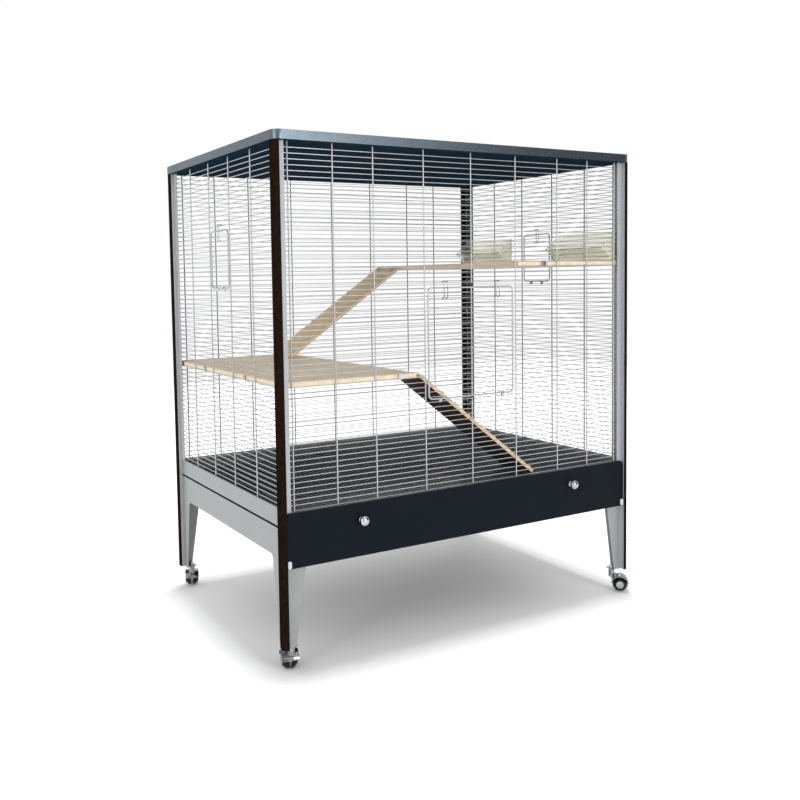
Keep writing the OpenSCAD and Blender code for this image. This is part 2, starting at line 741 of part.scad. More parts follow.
knuckle = 14;
knuckle_r = pivot_d / 2 + eye_play + 2;
module ramp() difference() {
  union() {
    translate([knuckle_r + 1.2, -ramp_w / 2, -ramp_t / 2])
      cube([ramp_l - knuckle_r - 1.2, ramp_w, ramp_t]);
    for (x = [rung_pitch / 2 + 12:rung_pitch:ramp_l - rung_h])
      translate([x, -ramp_w / 2 + 6, ramp_t / 2 - hair])
        cube([rung_h + 2, ramp_w - 12, rung_h + hair]);
    for (s = [-1, 1]) translate([0, s * (ramp_w / 2 - 20), 0]) {
      rotate([90, 0, 0]) cylinder(h = knuckle, r = knuckle_r, center = true);
      translate([0, -knuckle / 2, -1.2]) cube([knuckle_r + 6, knuckle, 2.4]);
    }
  }
  for (s = [-1, 1]) translate([0, s * (ramp_w / 2 - 20), 0]) rotate([90, 0, 0])
    cylinder(h = knuckle + 2, r = pivot_d / 2 + eye_play, center = true);
}

module ramp_lower() color("tan") home() translate(lower_pivot) rotate([0, lower_slope, 0]) ramp();
module ramp_upper() color("tan") home() translate(upper_pivot) rotate([0, 0, 180])
  rotate([0, upper_slope, 0]) ramp();

// pin along the shelf's edge, carried by two lugs on a small plate
module pivot_pin() {
  reach = ramp_w / 2 - 20 - knuckle / 2 - 3;
  rotate([90, 0, 0]) cylinder(h = ramp_w - 20, d = pivot_d, center = true);
  for (s = [-1, 1]) translate([0, s * (reach - 2), 0]) {
    rotate([90, 0, 0]) cylinder(h = 3, r = knuckle_r, center = true);
    translate([-pivot_out, -1.5, -2]) cube([pivot_out, 3, 4]);
  }
  translate([-pivot_out, -reach, -4]) cube([1.6, 2 * reach, 8]);
}

module ramp_pivots() color("silver") home() {
  translate(lower_pivot) pivot_pin();
  translate(upper_pivot) rotate([0, 0, 180]) pivot_pin();
}

// ---- troughs -------------------------------------------------------------

// upright trough on the shelf: flat back against the wires, flared front wall with
// a low lip, sides that fall from the back to the lip; u is depth from its back
module trough() {
  knee = trough_foot + 4;
  rise = 18;
  flare = (trough_lip - trough_t - rise) / (trough_reach - knee);
  difference() {
    rotate([90, 0, 0]) linear_extrude(trough_l, center = true)
      polygon([[0, 0], [-trough_foot, 0], [-knee, rise],
        [-trough_reach, trough_lip - trough_t], [-trough_reach, trough_lip],
        [0, trough_h]]);
    rotate([90, 0, 0]) linear_extrude(trough_l - 2 * trough_t, center = true)
      polygon([[-trough_t, trough_t], [trough_t - trough_foot, trough_t],
        [trough_t - knee, rise + trough_t],
        [-trough_reach - 5, trough_lip + 5 * flare],
        [-trough_reach - 5, 2 * trough_h], [-trough_t, 2 * trough_h]]);
  }
}

trough_z = upper_mid + shelf_t / 2 + seat;
module trough_front() color("lightgoldenrodyellow") home()
  translate([shelf_out, trough_l / 2 + trough_front_gap - shelf_half, trough_z]) trough();
module trough_back() color("lightgoldenrodyellow") home()
  translate([shelf_out, shelf_half - trough_l / 2 - trough_back_gap, trough_z]) trough();

// ---- castors -------------------------------------------------------------

// stem, shoulder under the tab and nut above it, fixed to the leg
module castor_stems() color("silver")
  for (sx = [-1, 1], sy = [-1, 1]) corner(sx, sy) translate([stem_u, stem_v, 0]) {
    translate([0, 0, wheel_d + 4]) cylinder(h = castor_h + sheet_t + 9 - wheel_d - 4,
      d = stem_d);
    translate([0, 0, castor_h - 1.5]) cylinder(h = 1.5, d = stem_d + 9);
    translate([0, 0, castor_h + sheet_t]) cylinder(h = 6, d = 14, $fn = 6);
  }

// places its children in a castor's frame: origin on the stem axis at the
// floor, x the way it trails
module at_castor(i) home() {
  h = headings[i];
  translate([h[1] * (cage_w / 2 - stem_u), h[2] * (cage_d / 2 - stem_v), 0])
    rotate([0, 0, h[0]]) children();
}

// hood: web between the wheels, cover over them, boss around the stem
module hood() color("silver") difference() {
  union() {
    translate([trail, 0, axle_z]) rotate([90, 0, 0]) {
      cylinder(h = web_t, r = wheel_d / 2 - 4, center = true);
      difference() {
        cylinder(h = hood_w, r = hood_r, center = true);
        cylinder(h = hood_w + 1, r = hood_r - 1.6, center = true);
        translate([-2 * hood_r, -2 * hood_r, -hood_w])
          cube([4 * hood_r, 2 * hood_r + hood_low, 2 * hood_w]);
      }
    }
    rotate([90, 0, 0]) linear_extrude(web_t, center = true)
      polygon([[trail, axle_z - 6], [0, axle_z + 12], [-stem_d / 2 - 2, castor_h - 20],
        [-stem_d / 2 - 2, castor_h - 12], [stem_d / 2 + 4, castor_h - 12],
        [trail, axle_z + hood_r - 1]]);
    translate([0, 0, castor_h - 22]) cylinder(h = 20, d = stem_d + 8);
  }
  translate([0, 0, castor_h - 23]) cylinder(h = 22, r = stem_d / 2 + bore_play);
  translate([trail, 0, axle_z]) rotate([90, 0, 0])
    cylinder(h = web_t + 1, r = axle_d / 2 + bore_play, center = true);
  // room for the wheels under the boss
  for (s = [-1, 1]) translate([trail, s * (web_t / 2 + wheel_w / 2 + 0.1), axle_z])
    rotate([90, 0, 0]) cylinder(h = wheel_w + 0.2, r = wheel_d / 2 + 1, center = true);
}

// twin wheels on one axle: the two halves of a ball, cut flat for the hub discs
module wheels() color("#202226") translate([trail, 0, axle_z]) rotate([90, 0, 0]) {
  inner = web_t / 2 + 0.5;
  for (s = [0, 1]) mirror([0, 0, s]) rotate_extrude() intersection() {
    circle(norm([wheel_d / 2, inner]));
    translate([0, inner]) square([wheel_d / 2, wheel_w - 0.5]);
  }
  cylinder(h = web_t + 2, d = axle_d, center = true);
}

module hood_front_left() at_castor(0) hood();
module hood_front_right() at_castor(1) hood();
module hood_back_left() at_castor(2) hood();
module hood_back_right() at_castor(3) hood();
module wheels_front_left() at_castor(0) wheels();
module wheels_front_right() at_castor(1) wheels();
module wheels_back_left() at_castor(2) wheels();
module wheels_back_right() at_castor(3) wheels();

roof_board();
post_front_left();
post_front_right();
post_back_left();
post_back_right();
front_strips();
trim_front_left();
trim_front_right();
trim_back_left();
trim_back_right();
stand_left();
stand_right();
stand_back();
rail_left();
rail_right();
rail_back();
rail_front();
floor_ledges();
floor_grid();
tray();
tray_walls();
drawer_front();
drawer_knobs();
drawer_catches();
grid_back();
grid_front_sill();
grid_front_jambs();
grid_front_head();
grid_left_sill();
grid_left_jambs();
grid_left_head();
grid_right_sill();
grid_right_jambs();
grid_right_head();
grid_clips();
door_front();
door_left();
door_right();
latch_front_left();
latch_front_right();
latch_left();
latch_right();
shelf_lower();
shelf_upper();
shelf_bolts();
ramp_pivots();
ramp_lower();
ramp_upper();
trough_front();
trough_back();
castor_stems();
hood_front_left();
hood_front_right();
hood_back_left();
hood_back_right();
wheels_front_left();
wheels_front_right();
wheels_back_left();
wheels_back_right();
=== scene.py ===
import bmesh
import bpy
import numpy as np
from mathutils import Matrix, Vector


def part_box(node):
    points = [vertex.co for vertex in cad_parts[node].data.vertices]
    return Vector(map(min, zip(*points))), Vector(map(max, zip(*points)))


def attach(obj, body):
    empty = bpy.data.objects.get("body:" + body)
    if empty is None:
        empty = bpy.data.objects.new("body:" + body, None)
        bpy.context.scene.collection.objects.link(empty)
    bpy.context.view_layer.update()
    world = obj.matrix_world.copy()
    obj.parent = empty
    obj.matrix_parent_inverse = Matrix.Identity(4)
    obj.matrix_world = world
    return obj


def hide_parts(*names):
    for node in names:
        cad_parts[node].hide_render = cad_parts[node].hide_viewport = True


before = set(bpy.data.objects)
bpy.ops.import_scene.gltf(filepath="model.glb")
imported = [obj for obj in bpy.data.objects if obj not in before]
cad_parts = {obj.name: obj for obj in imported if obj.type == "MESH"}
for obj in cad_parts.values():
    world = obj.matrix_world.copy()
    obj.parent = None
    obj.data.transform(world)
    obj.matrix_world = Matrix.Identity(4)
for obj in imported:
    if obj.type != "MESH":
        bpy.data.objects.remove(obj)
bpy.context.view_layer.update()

# ---- posts ------------------------------------------------------------------
# Four upright extrusions of satin anodised aluminium that run from the feet of the
# stand to the roof board and carry it, with two flat strips of the same beside the
# front wires.

mm = 0.001
roof_low, roof_high = (np.array(corner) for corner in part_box("roof_board"))
home = np.array([(roof_low[0] + roof_high[0]) / 2, (roof_low[1] + roof_high[1]) / 2, 0])
cage_w, cage_d = 1010 * mm, 690 * mm
skin_x, sheet_t = 10 * mm, 2 * mm
fit = 0.3 * mm  # gap of a piece that rests or slides


def node_maker(tree):
    """A function that adds one node to a tree, with its settings and its inputs; an
    input that is a socket gets a link, any other is a plain value."""
    def node(kind, inputs=(), **facts):
        made = tree.nodes.new("ShaderNode" + kind)
        for key, value in facts.items():
            setattr(made, key, value)
        for key, value in dict(inputs).items():
            if isinstance(value, bpy.types.NodeSocket):
                tree.links.new(value, made.inputs[key])
            else:
                made.inputs[key].default_value = value
        return made

    return node


def shader_of(name):
    """A new material, its node tree, its Principled shader and a node maker."""
    material = bpy.data.materials.new(name)
    material.use_nodes = True
    tree = material.node_tree
    return material, tree, tree.nodes["Principled BSDF"], node_maker(tree)


def finish(name, colour, rough, metal=0.0, mottle=0.08, mottle_size=0.05, grain=0.15,
           grain_size=0.0006, streak=None, coat=0.0, specular=0.5, depth=0.02 * mm):
    """A surface of one base colour: broad mottling shifts its lightness, fine grain
    moves its roughness and height; streak stretches the grain along one axis."""
    material, tree, shader, node = shader_of(name)
    place = node("TexCoord").outputs["Object"]
    stretch = node("Mapping", {"Vector": place, "Scale": streak or (1, 1, 1)}).outputs[0]
    broad = node("TexNoise", {"Vector": place, "Scale": 1 / mottle_size, "Detail": 4})
    fine = node("TexNoise", {"Vector": stretch, "Scale": 1 / grain_size, "Detail": 3})
    low = [c * (1 - mottle) for c in colour]
    high = [min(1, c * (1 + mottle)) for c in colour]
    tint = node("ValToRGB", {"Fac": broad.outputs["Fac"]})
    for stop, at, shade in zip(tint.color_ramp.elements, (0.3, 0.7), (low, high)):
        stop.position, stop.color = at, (*shade, 1)
    tree.links.new(tint.outputs["Color"], shader.inputs["Base Color"])
    spread = node("MapRange", {"Value": fine.outputs["Fac"], "From Min": 0.3, "From Max": 0.7,
                               "To Min": max(0.02, rough - grain),
                               "To Max": min(1, rough + grain)})
    tree.links.new(spread.outputs["Result"], shader.inputs["Roughness"])
    bump = node("Bump", {"Height": fine.outputs["Fac"], "Strength": 0.35, "Distance": depth})
    tree.links.new(bump.outputs["Normal"], shader.inputs["Normal"])
    shader.inputs["Metallic"].default_value = metal
    shader.inputs["Coat Weight"].default_value = coat
    shader.inputs["Coat Roughness"].default_value = 0.08
    shader.inputs["Specular IOR Level"].default_value = specular
    return material


def dress(node_name, material, edge=0.0, segments=2):
    """Gives a CAD node its material, and eases its sharp edges by a small round."""
    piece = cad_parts[node_name]
    piece.data.materials.clear()
    piece.data.materials.append(material)
    if edge:
        weld = piece.modifiers.new("joined", "WELD")
        weld.merge_threshold = 0.001 * mm
        ease = piece.modifiers.new("eased", "BEVEL")
        ease.width = edge
        ease.segments = segments
        ease.limit_method = "ANGLE"
        ease.angle_limit = np.radians(35)
        ease.use_clamp_overlap = True
        ease.harden_normals = False
    return piece


def by_facing(piece, materials, choose):
    """Gives each face of a piece one of some materials, chosen by its normal."""
    for material in materials:
        piece.data.materials.append(material)
    normals = np.empty(len(piece.data.polygons) * 3, np.float32)
    piece.data.polygons.foreach_get("normal", normals)
    piece.data.polygons.foreach_set("material_index",
                                    choose(normals.reshape(-1, 3)).astype(np.int32))


corners = [(side, end) for end in ("front", "back") for side in ("left", "right")]
anodised = finish("satin aluminium", (0.46, 0.475, 0.50), 0.48, metal=0.15, mottle=0.03,
                  grain=0.07, grain_size=0.0016, streak=(1, 1, 0.02), depth=0.004 * mm)
# near-black colour for the inner faces of the back posts: painted shade in the back corners;
# the posts are the same aluminium as the front ones
painted_shade_inside = finish("painted shade on back post insides", (0.008, 0.010, 0.014), 0.45, mottle=0.1,
                     grain=0.08, grain_size=0.0016, streak=(1, 1, 0.02), specular=0.1,
                     depth=0.004 * mm)
for side, end in corners:
    post = dress(f"post_{end}_{side}", anodised, edge=0.4 * mm)
    # the back posts' faces that turn inwards take the painted shade
    if end == "back":
        inwards = 1 if side == "left" else -1
        by_facing(post, [painted_shade_inside], lambda normals: inwards * normals[:, 0] > 0.7)
dress("front_strips", anodised, edge=0.4 * mm)

# ---- corner trims -----------------------------------------------------------
# Strips of a dark, matt laminate with a long grain that cover the outer corners of
# the posts.

laminate = finish("dark laminate", (0.016, 0.009, 0.0062), 0.25, mottle=0.35,
                  mottle_size=0.012, grain=0.05, grain_size=0.003, streak=(1, 1, 0.03),
                  specular=0.0, depth=0.006 * mm)
for side, end in corners:
    dress(f"trim_{end}_{side}", laminate, edge=0.5 * mm)

# ---- stand ------------------------------------------------------------------
# Two folded sheets with tapered legs and a rear skirt, silver-grey powder coat
# over steel, bolted between the posts.

silver_coat = finish("silver grey powder coat", (0.33, 0.345, 0.35), 0.42, metal=0.25,
                     mottle=0.03, grain=0.10, grain_size=0.0008, depth=0.012 * mm)
for name in ("stand_left", "stand_right", "stand_back", "rail_left", "rail_right",
             "rail_back", "rail_front", "floor_ledges"):
    dress(name, silver_coat, edge=0.35 * mm)

# ---- roof board -------------------------------------------------------------
# A slate-coloured board, 20 mm thick, with rounded corners and an eased edge,
# that lies on the posts.

slate_roof = finish("slate roof laminate", (0.085, 0.112, 0.145), 0.40, mottle=0.14,
                    mottle_size=0.02, grain=0.10, grain_size=0.0012, coat=0.15,
                    depth=0.03 * mm)
edge_band = finish("satin edge band", (0.14, 0.175, 0.205), 0.30, metal=0.85, mottle=0.06,
                   mottle_size=0.03, grain=0.08, grain_size=0.0016, depth=0.02 * mm)
# the underside is coloured far darker than the top and has no specular: painted shade under the
# board
painted_shade_underside = finish("navy underside, painted shade", (0.016, 0.034, 0.055), 0.55, mottle=0.2,
                    mottle_size=0.03, grain=0.12, grain_size=0.001, specular=0.0,
                    depth=0.02 * mm)


def speckled(material, size=1.6 * mm, light=1.5, dark=0.55):
    """Adds a sanded speckle to a finish: cells of a voronoi pattern are lighter or
    darker than the coat."""
    tree = material.node_tree
    node = node_maker(tree)
    base = tree.nodes["Principled BSDF"].inputs["Base Color"]
    coat = base.links[0].from_socket
    place = node("TexCoord").outputs["Object"]
    cells = node("TexVoronoi", {"Vector": place, "Scale": 1 / size})
    channel = node("SeparateColor", {0: cells.outputs["Color"]})
    level = node("MapRange", {"Value": channel.outputs[0], "To Min": dark, "To Max": light})
    speck = node("VectorMath", {0: coat, "Scale": level.outputs[0]}, operation="SCALE")
    tree.links.new(speck.outputs[0], base)


speckled(slate_roof)
speckled(edge_band, size=1.1 * mm, light=1.12, dark=0.88)
# faces turned down take the painted shade of the underside
by_facing(dress("roof_board", slate_roof, edge=2.2 * mm, segments=4),
          (edge_band, painted_shade_underside),
          lambda normals: np.where(normals[:, 2] > 0.5, 0,
                                   np.where(normals[:, 2] < -0.5, 2, 1)))

# ---- wire fields ------------------------------------------------------------
# Straight drawn wires, thick uprights with thin rows welded behind them, bright
# plated; the uprights at the back and on the right are coloured darker as painted
# shade; the fields end in the posts and rails.

row_d, col_d, row_pitch = 2 * mm, 3 * mm, 12 * mm
row_z0, last_row = 366 * mm, 63
rail_top, roof_z, front_rail_top = 359.5 * mm, 1135 * mm, 352 * mm
side_col, front_col = 13.5 * mm, 15.5 * mm
weld_in = 0.3 * mm  # depth of a wire in the wire it is welded to
row_back = (row_d + col_d) / 2 - weld_in
front_xs = np.array([-469, -368, -267, -133.5, 0, 133.5, 267, 368, 469]) * mm
side_ys = np.array([-309, -193.5, -64.5, 64.5, 193.5, 309]) * mm
shift_of = {"back": 8.5 * mm, "front": 5.5 * mm, "left": -6 * mm, "right": 6 * mm}


def row_z(k):
    """Height of row k above the floor."""
    return row_z0 + np.asarray(k) * row_pitch


def placed(points, wall, mirrored=False):
    """Points drawn as seen from outside a wall, x right, y inwards, put in the row
    frame: a quarter turn per wall about the middle of the cage."""
    x, y, z = np.moveaxis(np.asarray(points, float), -1, 0)
    x = -x if mirrored else x
    put = {"front": (x, y - cage_d / 2), "back": (-x, cage_d / 2 - y),
           "left": (y - cage_w / 2, -x), "right": (cage_w / 2 - y, x)}[wall]
    return np.stack([put[0], put[1], z], -1) + home


def spots(x, y, z):
    """Points of three coordinates, each one number or a list with a number a point."""
    return np.stack(np.broadcast_arrays(x, y, z), -1)


def unit(vectors):
    """Vectors divided by their lengths."""
    return vectors / np.linalg.norm(vectors, axis=-1, keepdims=True)


def ring(sides):
    """Unit circle as points of cosine and sine, the first of them half a step round."""
    angle = (np.arange(sides) + 0.5) * 2 * np.pi / sides
    return np.stack([np.cos(angle), np.sin(angle)], -1)


def skin(grid, closed=False):
    """Mesh of a tube given as a grid of rings x points: quads between rings. The last
    ring of a closed tube joins the first; an open tube gets a fan of triangles to the
    mean of each end ring."""
    rings, sides = grid.shape[:2]
    now, following = np.arange(sides), (np.arange(sides) + 1) % sides
    start = np.arange(rings if closed else rings - 1)[:, None] * sides
    onward = (start + sides) % (rings * sides)
    quads = np.stack([start + now, start + following, onward + following, onward + now],
                     -1).reshape(-1, 4)
    points = grid.reshape(-1, 3)
    if closed:
        return points, quads, np.zeros((0, 3), int)
    last, middle = (rings - 1) * sides, np.full(sides, len(points))
    fans = np.vstack([np.stack([following, now, middle], -1),
                      np.stack([last + now, last + following, middle + 1], -1)])
    return np.vstack([points, grid[0].mean(0), grid[-1].mean(0)]), quads, fans


def bundle(parts):
    """Several meshes of (points, quads, triangles) as one."""
    start, points, quads, fans = 0, [], [], []
    for p, q, t in parts:
        points.append(p)
        quads.append(q + start)
        fans.append(t + start)
        start += len(p)
    return np.vstack(points), np.vstack(quads), np.vstack(fans)


def straight_wires(starts, ends, d, sides=10):
    """Round wires from starts to ends: a circle at both ends of each, turned square
    to its own direction."""
    starts, ends = np.asarray(starts, float), np.asarray(ends, float)
    along = unit(ends - starts)
    helper = np.where(np.abs(along[:, 2:3]) > 0.9, [[1.0, 0, 0]], [[0, 0, 1.0]])
    across = unit(np.cross(helper, along))
    up = np.cross(along, across)
    circle = ring(sides) * d / 2
    rim = across[:, None] * circle[None, :, :1] + up[:, None] * circle[None, :, 1:]
    count = len(starts)
    grid = np.stack([starts[:, None] + rim, ends[:, None] + rim], 1)
    points = np.concatenate([grid.reshape(count, -1, 3), starts[:, None], ends[:, None]], 1)
    now, following = np.arange(sides), (np.arange(sides) + 1) % sides
    quads = np.stack([now, following, following + sides, now + sides], -1)
    fans = np.vstack([np.stack([following, now, np.full(sides, 2 * sides)], -1),
                      np.stack([sides + now, sides + following,
                                np.full(sides, 2 * sides + 1)], -1)])
    step = np.arange(count)[:, None, None] * (2 * sides + 2)
    return points.reshape(-1, 3), (quads + step).reshape(-1, 4), (fans + step).reshape(-1, 3)


def add_object(name, data):
    """A new object of the scene."""
    made = bpy.data.objects.new(name, data)
    bpy.context.scene.collection.objects.link(made)
    return made


def piece_of(name, parts, body, material, stands_for=(), weld=False, smooth=40):
    """One object from meshes in the row frame; edges sharper than smooth degrees stay
    crisp. It rides on its body and takes the place of the CAD nodes it stands for."""
    points, quads, fans = bundle(parts)
    mesh = bpy.data.meshes.new(name)
    loops = np.concatenate([quads.ravel(), fans.ravel()]).astype(np.int32)
    counts = np.concatenate([np.full(len(quads), 4), np.full(len(fans), 3)])
    mesh.vertices.add(len(points))
    mesh.vertices.foreach_set("co", points.astype(np.float32).ravel())
    mesh.loops.add(len(loops))
    mesh.loops.foreach_set("vertex_index", loops)
    mesh.polygons.add(len(counts))
    first = np.concatenate([[0], np.cumsum(counts)[:-1]]).astype(np.int32)
    mesh.polygons.foreach_set("loop_start", first)
    mesh.update(calc_edges=True)
    mesh.validate()
    if weld:
        joined = bmesh.new()
        joined.from_mesh(mesh)
        bmesh.ops.remove_doubles(joined, verts=joined.verts, dist=0.002 * mm)
        joined.to_mesh(mesh)
        joined.free()
    mesh.polygons.foreach_set("use_smooth", np.ones(len(mesh.polygons), bool))
    mesh.set_sharp_from_angle(angle=np.radians(smooth))
    mesh.materials.append(material)
    made = add_object(name, mesh)
    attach(made, body)
    if stands_for:
        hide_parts(*stands_for)
    return made


def field(wall, xs, z0, z1, x0, x1, k0, k1, col_v, mirrored=False):
    """Welded field: uprights at xs from z0 to z1, rows k0 to k1 from x0 to x1."""
    def on(x, depth, z):
        return placed(spots(x, depth, z), wall, mirrored)

    zs, row_v = row_z(np.arange(k0, k1 + 1)), col_v + row_back
    return [straight_wires(on(xs, col_v, z0), on(xs, col_v, z1), col_d, 12),
            straight_wires(on(x0, row_v, zs), on(x1, row_v, zs), row_d, 8)]


bright_wire = finish("bright plated wire", (0.50, 0.51, 0.525), 0.32, metal=0.55,
                     mottle=0.05, mottle_size=0.02, grain=0.10, grain_size=0.0012,
                     coat=0.1, depth=0.02 * mm)
# the same plated wire coloured dark: painted shade for the uprights of the back and right walls
shaded_upright_wire = finish("wire with painted shade", (0.10, 0.11, 0.12), 0.35, metal=0.5, mottle=0.05,
                    mottle_size=0.02, grain=0.10, grain_size=0.0012, specular=0.3,
                    depth=0.02 * mm)
upright_wire = {"front": bright_wire, "left": bright_wire, "back": shaded_upright_wire,
                "right": shaded_upright_wire}
# the rows of the front and back end beside the flanges of the posts, and those of the
# sides before they meet the rows of the front and back
row_gap = 1.2 * mm
front_half = cage_w / 2 - skin_x - sheet_t - fit
side_half = cage_d / 2 - (front_col + row_back) - row_d / 2 - row_gap
# the row below each doorway, and how many rows its door spans
door_rows = {"front": (16, 22), "left": (38, 12), "right": (38, 12)}
half_way = {"front": 133.5 * mm, "left": 64.5 * mm, "right": 64.5 * mm}
doorway = {wall: (shift_of[wall] - half, shift_of[wall] + half)
           for wall, half in half_way.items()}


def uprights(xs, wall):
    """Upright wires of a wall: the inner ones stand shifted, the last two do not."""
    return np.concatenate([xs[:1], xs[1:-1] + shift_of[wall], xs[-1:]])


def sill_z(wall):
    """Top of the field below a doorway."""
    return row_z(door_rows[wall][0]) + row_d


def head_z(wall):
    """Foot of the field above a doorway."""
    return row_z(sum(door_rows[wall]) + 1) - row_d


def wall_wires(wall, part, fields):
    """The rows of a welded field as one piece and its uprights as another."""
    name = f"{wall}_{part}" if part else wall
    piece_of(f"rows_{name}", [rows for _, rows in fields], "frame",
             bright_wire, [f"grid_{name}"])
    piece_of(f"uprights_{name}", [uprights for uprights, _ in fields], "frame",
             upright_wire[wall])


wall_wires("back", "", [field("back", uprights(front_xs, "back"), rail_top, roof_z,
                              -front_half, front_half, 0, last_row, front_col)])
for wall, xs, half, depth, low, low_row in (
        ("front", front_xs, front_half, front_col, front_rail_top, -1),
        ("left", side_ys, side_half, side_col, rail_top, 0),
        ("right", side_ys, side_half, side_col, rail_top, 0)):
    xs = uprights(xs, wall)
    sill, rows = door_rows[wall]
    near, far = doorway[wall]
    mirrored = wall == "right"
    wall_wires(wall, "sill", [field(wall, xs, low, sill_z(wall), -half, half, low_row, sill,
                                    depth, mirrored)])
    wall_wires(wall, "head", [field(wall, xs, head_z(wall), roof_z, -half, half,
                                    sill + rows + 1, last_row, depth, mirrored)])
    wall_wires(wall, "jambs", [
        field(wall, own, sill_z(wall), head_z(wall), x0, x1, sill + 1, sill + rows, depth,
              mirrored)
        for x0, x1, own in ((-half, near, xs[xs <= near + mm]),
                            (far, half, xs[xs >= far - mm]))])
dress("grid_clips", anodised, edge=0.5 * mm)

# ---- wire floor -------------------------------------------------------------
# The same welded wire laid flat on the rails: fine wires from front to back and a
# few cross wires below them.

dark_wire = finish("dark plated wire", (0.065, 0.086, 0.103), 0.36, mottle=0.1,
                   mottle_size=0.02, grain=0.10, grain_size=0.0012, specular=0.25,
                   depth=0.02 * mm)
floor_d, floor_top = 2.6 * mm, 353.5 * mm
floor_in_x, floor_in_y, cross_in = 14 * mm, 19 * mm, 8 * mm
half_x, half_y = cage_w / 2 - floor_in_x, cage_d / 2 - floor_in_y
lines = np.arange(-40, 41) * row_pitch
crosses = np.linspace(-1, 1, 5) * (half_y - cross_in)
level = floor_top - floor_d / 2
below = level - floor_d + weld_in
piece_of("wires_floor", [
    straight_wires(spots(lines, -half_y, level) + home, spots(lines, half_y, level) + home,
                   floor_d, 8),
    straight_wires(spots(-half_x, crosses, below) + home,
                   spots(half_x, crosses, below) + home, floor_d, 8)],
    "frame", dark_wire, ["floor_grid"])

# ---- doors ------------------------------------------------------------------
# A bent round frame wire welded to a small field of rows; its bottom turns in two
# sheet clips, so the door drops outwards, and sprung wire latches hold its top.

frame_d, frame_r, door_gap = 4 * mm, 10 * mm, 9.5 * mm
frame_weld_in, hinge_up = 0.4 * mm, 0.6 * row_pitch
door_row = (frame_d + row_d) / 2 - frame_weld_in
bend_steps, bend_share = 8, 0.49


def bent(points, radius, closed=False):
    """A path through points with each corner replaced by an arc of a radius: with w the
    angle of the arc, its spokes are (sin((1-t) w) first + sin(t w) last) / sin(w) for t
    from 0 to 1. An arc takes up less than half of the legs it joins."""
    points = [np.asarray(p, float) for p in points]
    count = len(points)
    path = [] if closed else [points[0]]
    for i in range(count) if closed else range(1, count - 1):
        before, here, after = points[i - 1], points[i], points[(i + 1) % count]
        a, b = before - here, after - here
        size_a, size_b = np.linalg.norm(a), np.linalg.norm(b)
        turn = np.arccos(np.clip(a @ b / size_a / size_b, -1, 1))
        reach = min(radius / np.tan(turn / 2), size_a * bend_share, size_b * bend_share)
        start, end = here + a / size_a * reach, here + b / size_b * reach
        inward = (start + end) / 2 - here
        depth = np.linalg.norm(inward)
        own_radius = reach * np.tan(turn / 2)
        centre = here + inward / depth * (own_radius / np.sin(turn / 2))
        t = np.linspace(0, 1, bend_steps + 1)[:, None]
        first, last, sweep = start - centre, end - centre, np.pi - turn
        path += list(centre + (np.sin((1 - t) * sweep) * first + np.sin(t * sweep) * last)
                     / np.sin(sweep))
    if not closed:
        path.append(points[-1])
    return np.array(path)


def tube(path, d, sides=12, closed=False):
    """A round wire along a path: each ring is the last one turned by the smallest
    turn that brings it square to the path."""
    ahead = np.roll(path, -1, 0) - path
    behind = path - np.roll(path, 1, 0)
    if not closed:
        ahead[-1], behind[0] = behind[-1], ahead[0]
    along = unit(unit(ahead) + unit(behind))
    side = np.cross(along[0], [0, 0, 1.0] if abs(along[0][2]) < 0.9 else [1.0, 0, 0])
    sides_of = []
    for direction in along:
        side = side - direction * (side @ direction)
        side = side / np.linalg.norm(side)
        sides_of.append(side)
    side = np.array(sides_of)
    up = np.cross(along, side)
    circle = ring(sides) * d / 2
    return skin(path[:, None] + side[:, None] * circle[None, :, :1]
                + up[:, None] * circle[None, :, 1:], closed)


def turned(profile, sides=32, closed=False):
    """Revolved about Z: a profile of (radius, height) pairs carried round a circle; a
    closed profile makes a ring."""
    profile = np.asarray(profile, float)
    circle = ring(sides)
    grid = np.concatenate([profile[:, None, :1] * circle[None],
                           np.broadcast_to(profile[:, None, 1:], (len(profile), sides, 1))], -1)
    return skin(grid, closed)


def moved(part, matrix=None, shift=(0, 0, 0)):
    """The same mesh turned by a matrix and then shifted."""
    points = part[0] if matrix is None else part[0] @ np.asarray(matrix).T
    return points + np.asarray(shift), part[1], part[2]


def on_wall(part, wall, mirrored=False):
    """A mesh drawn as seen from outside a wall, put in its place; faces are turned
    over where the mirror turns the shape inside out."""
    points, quads, fans = part
    points = placed(points, wall, mirrored)
    return (points, quads[:, ::-1], fans[:, ::-1]) if mirrored else (points, quads, fans)


def belt(circles, thick, width, steps=40):
    """A sheet band wrapped round circles of (y, z, radius), of a width along X: in each
    direction the circle that reaches farthest carries the band."""
    angle = np.arange(steps) * 2 * np.pi / steps
    facing = np.stack([np.cos(angle), np.sin(angle)], -1)
    centres, radii = np.array(circles)[:, :2], np.array(circles)[:, 2]
    carrier = np.argmax(facing @ centres.T + radii, axis=1)
    inner = centres[carrier] + facing * radii[carrier, None]
    outer = inner + facing * thick
    soft = thick * 0.3
    rim = [(inner, -width / 2 + soft), (inner + facing * soft, -width / 2),
           (outer - facing * soft, -width / 2), (outer, -width / 2 + soft),
           (outer, width / 2 - soft), (outer - facing * soft, width / 2),
           (inner + facing * soft, width / 2), (inner, width / 2 - soft)]
    return skin(np.stack([np.column_stack([np.full(steps, x), at]) for at, x in rim]), True)


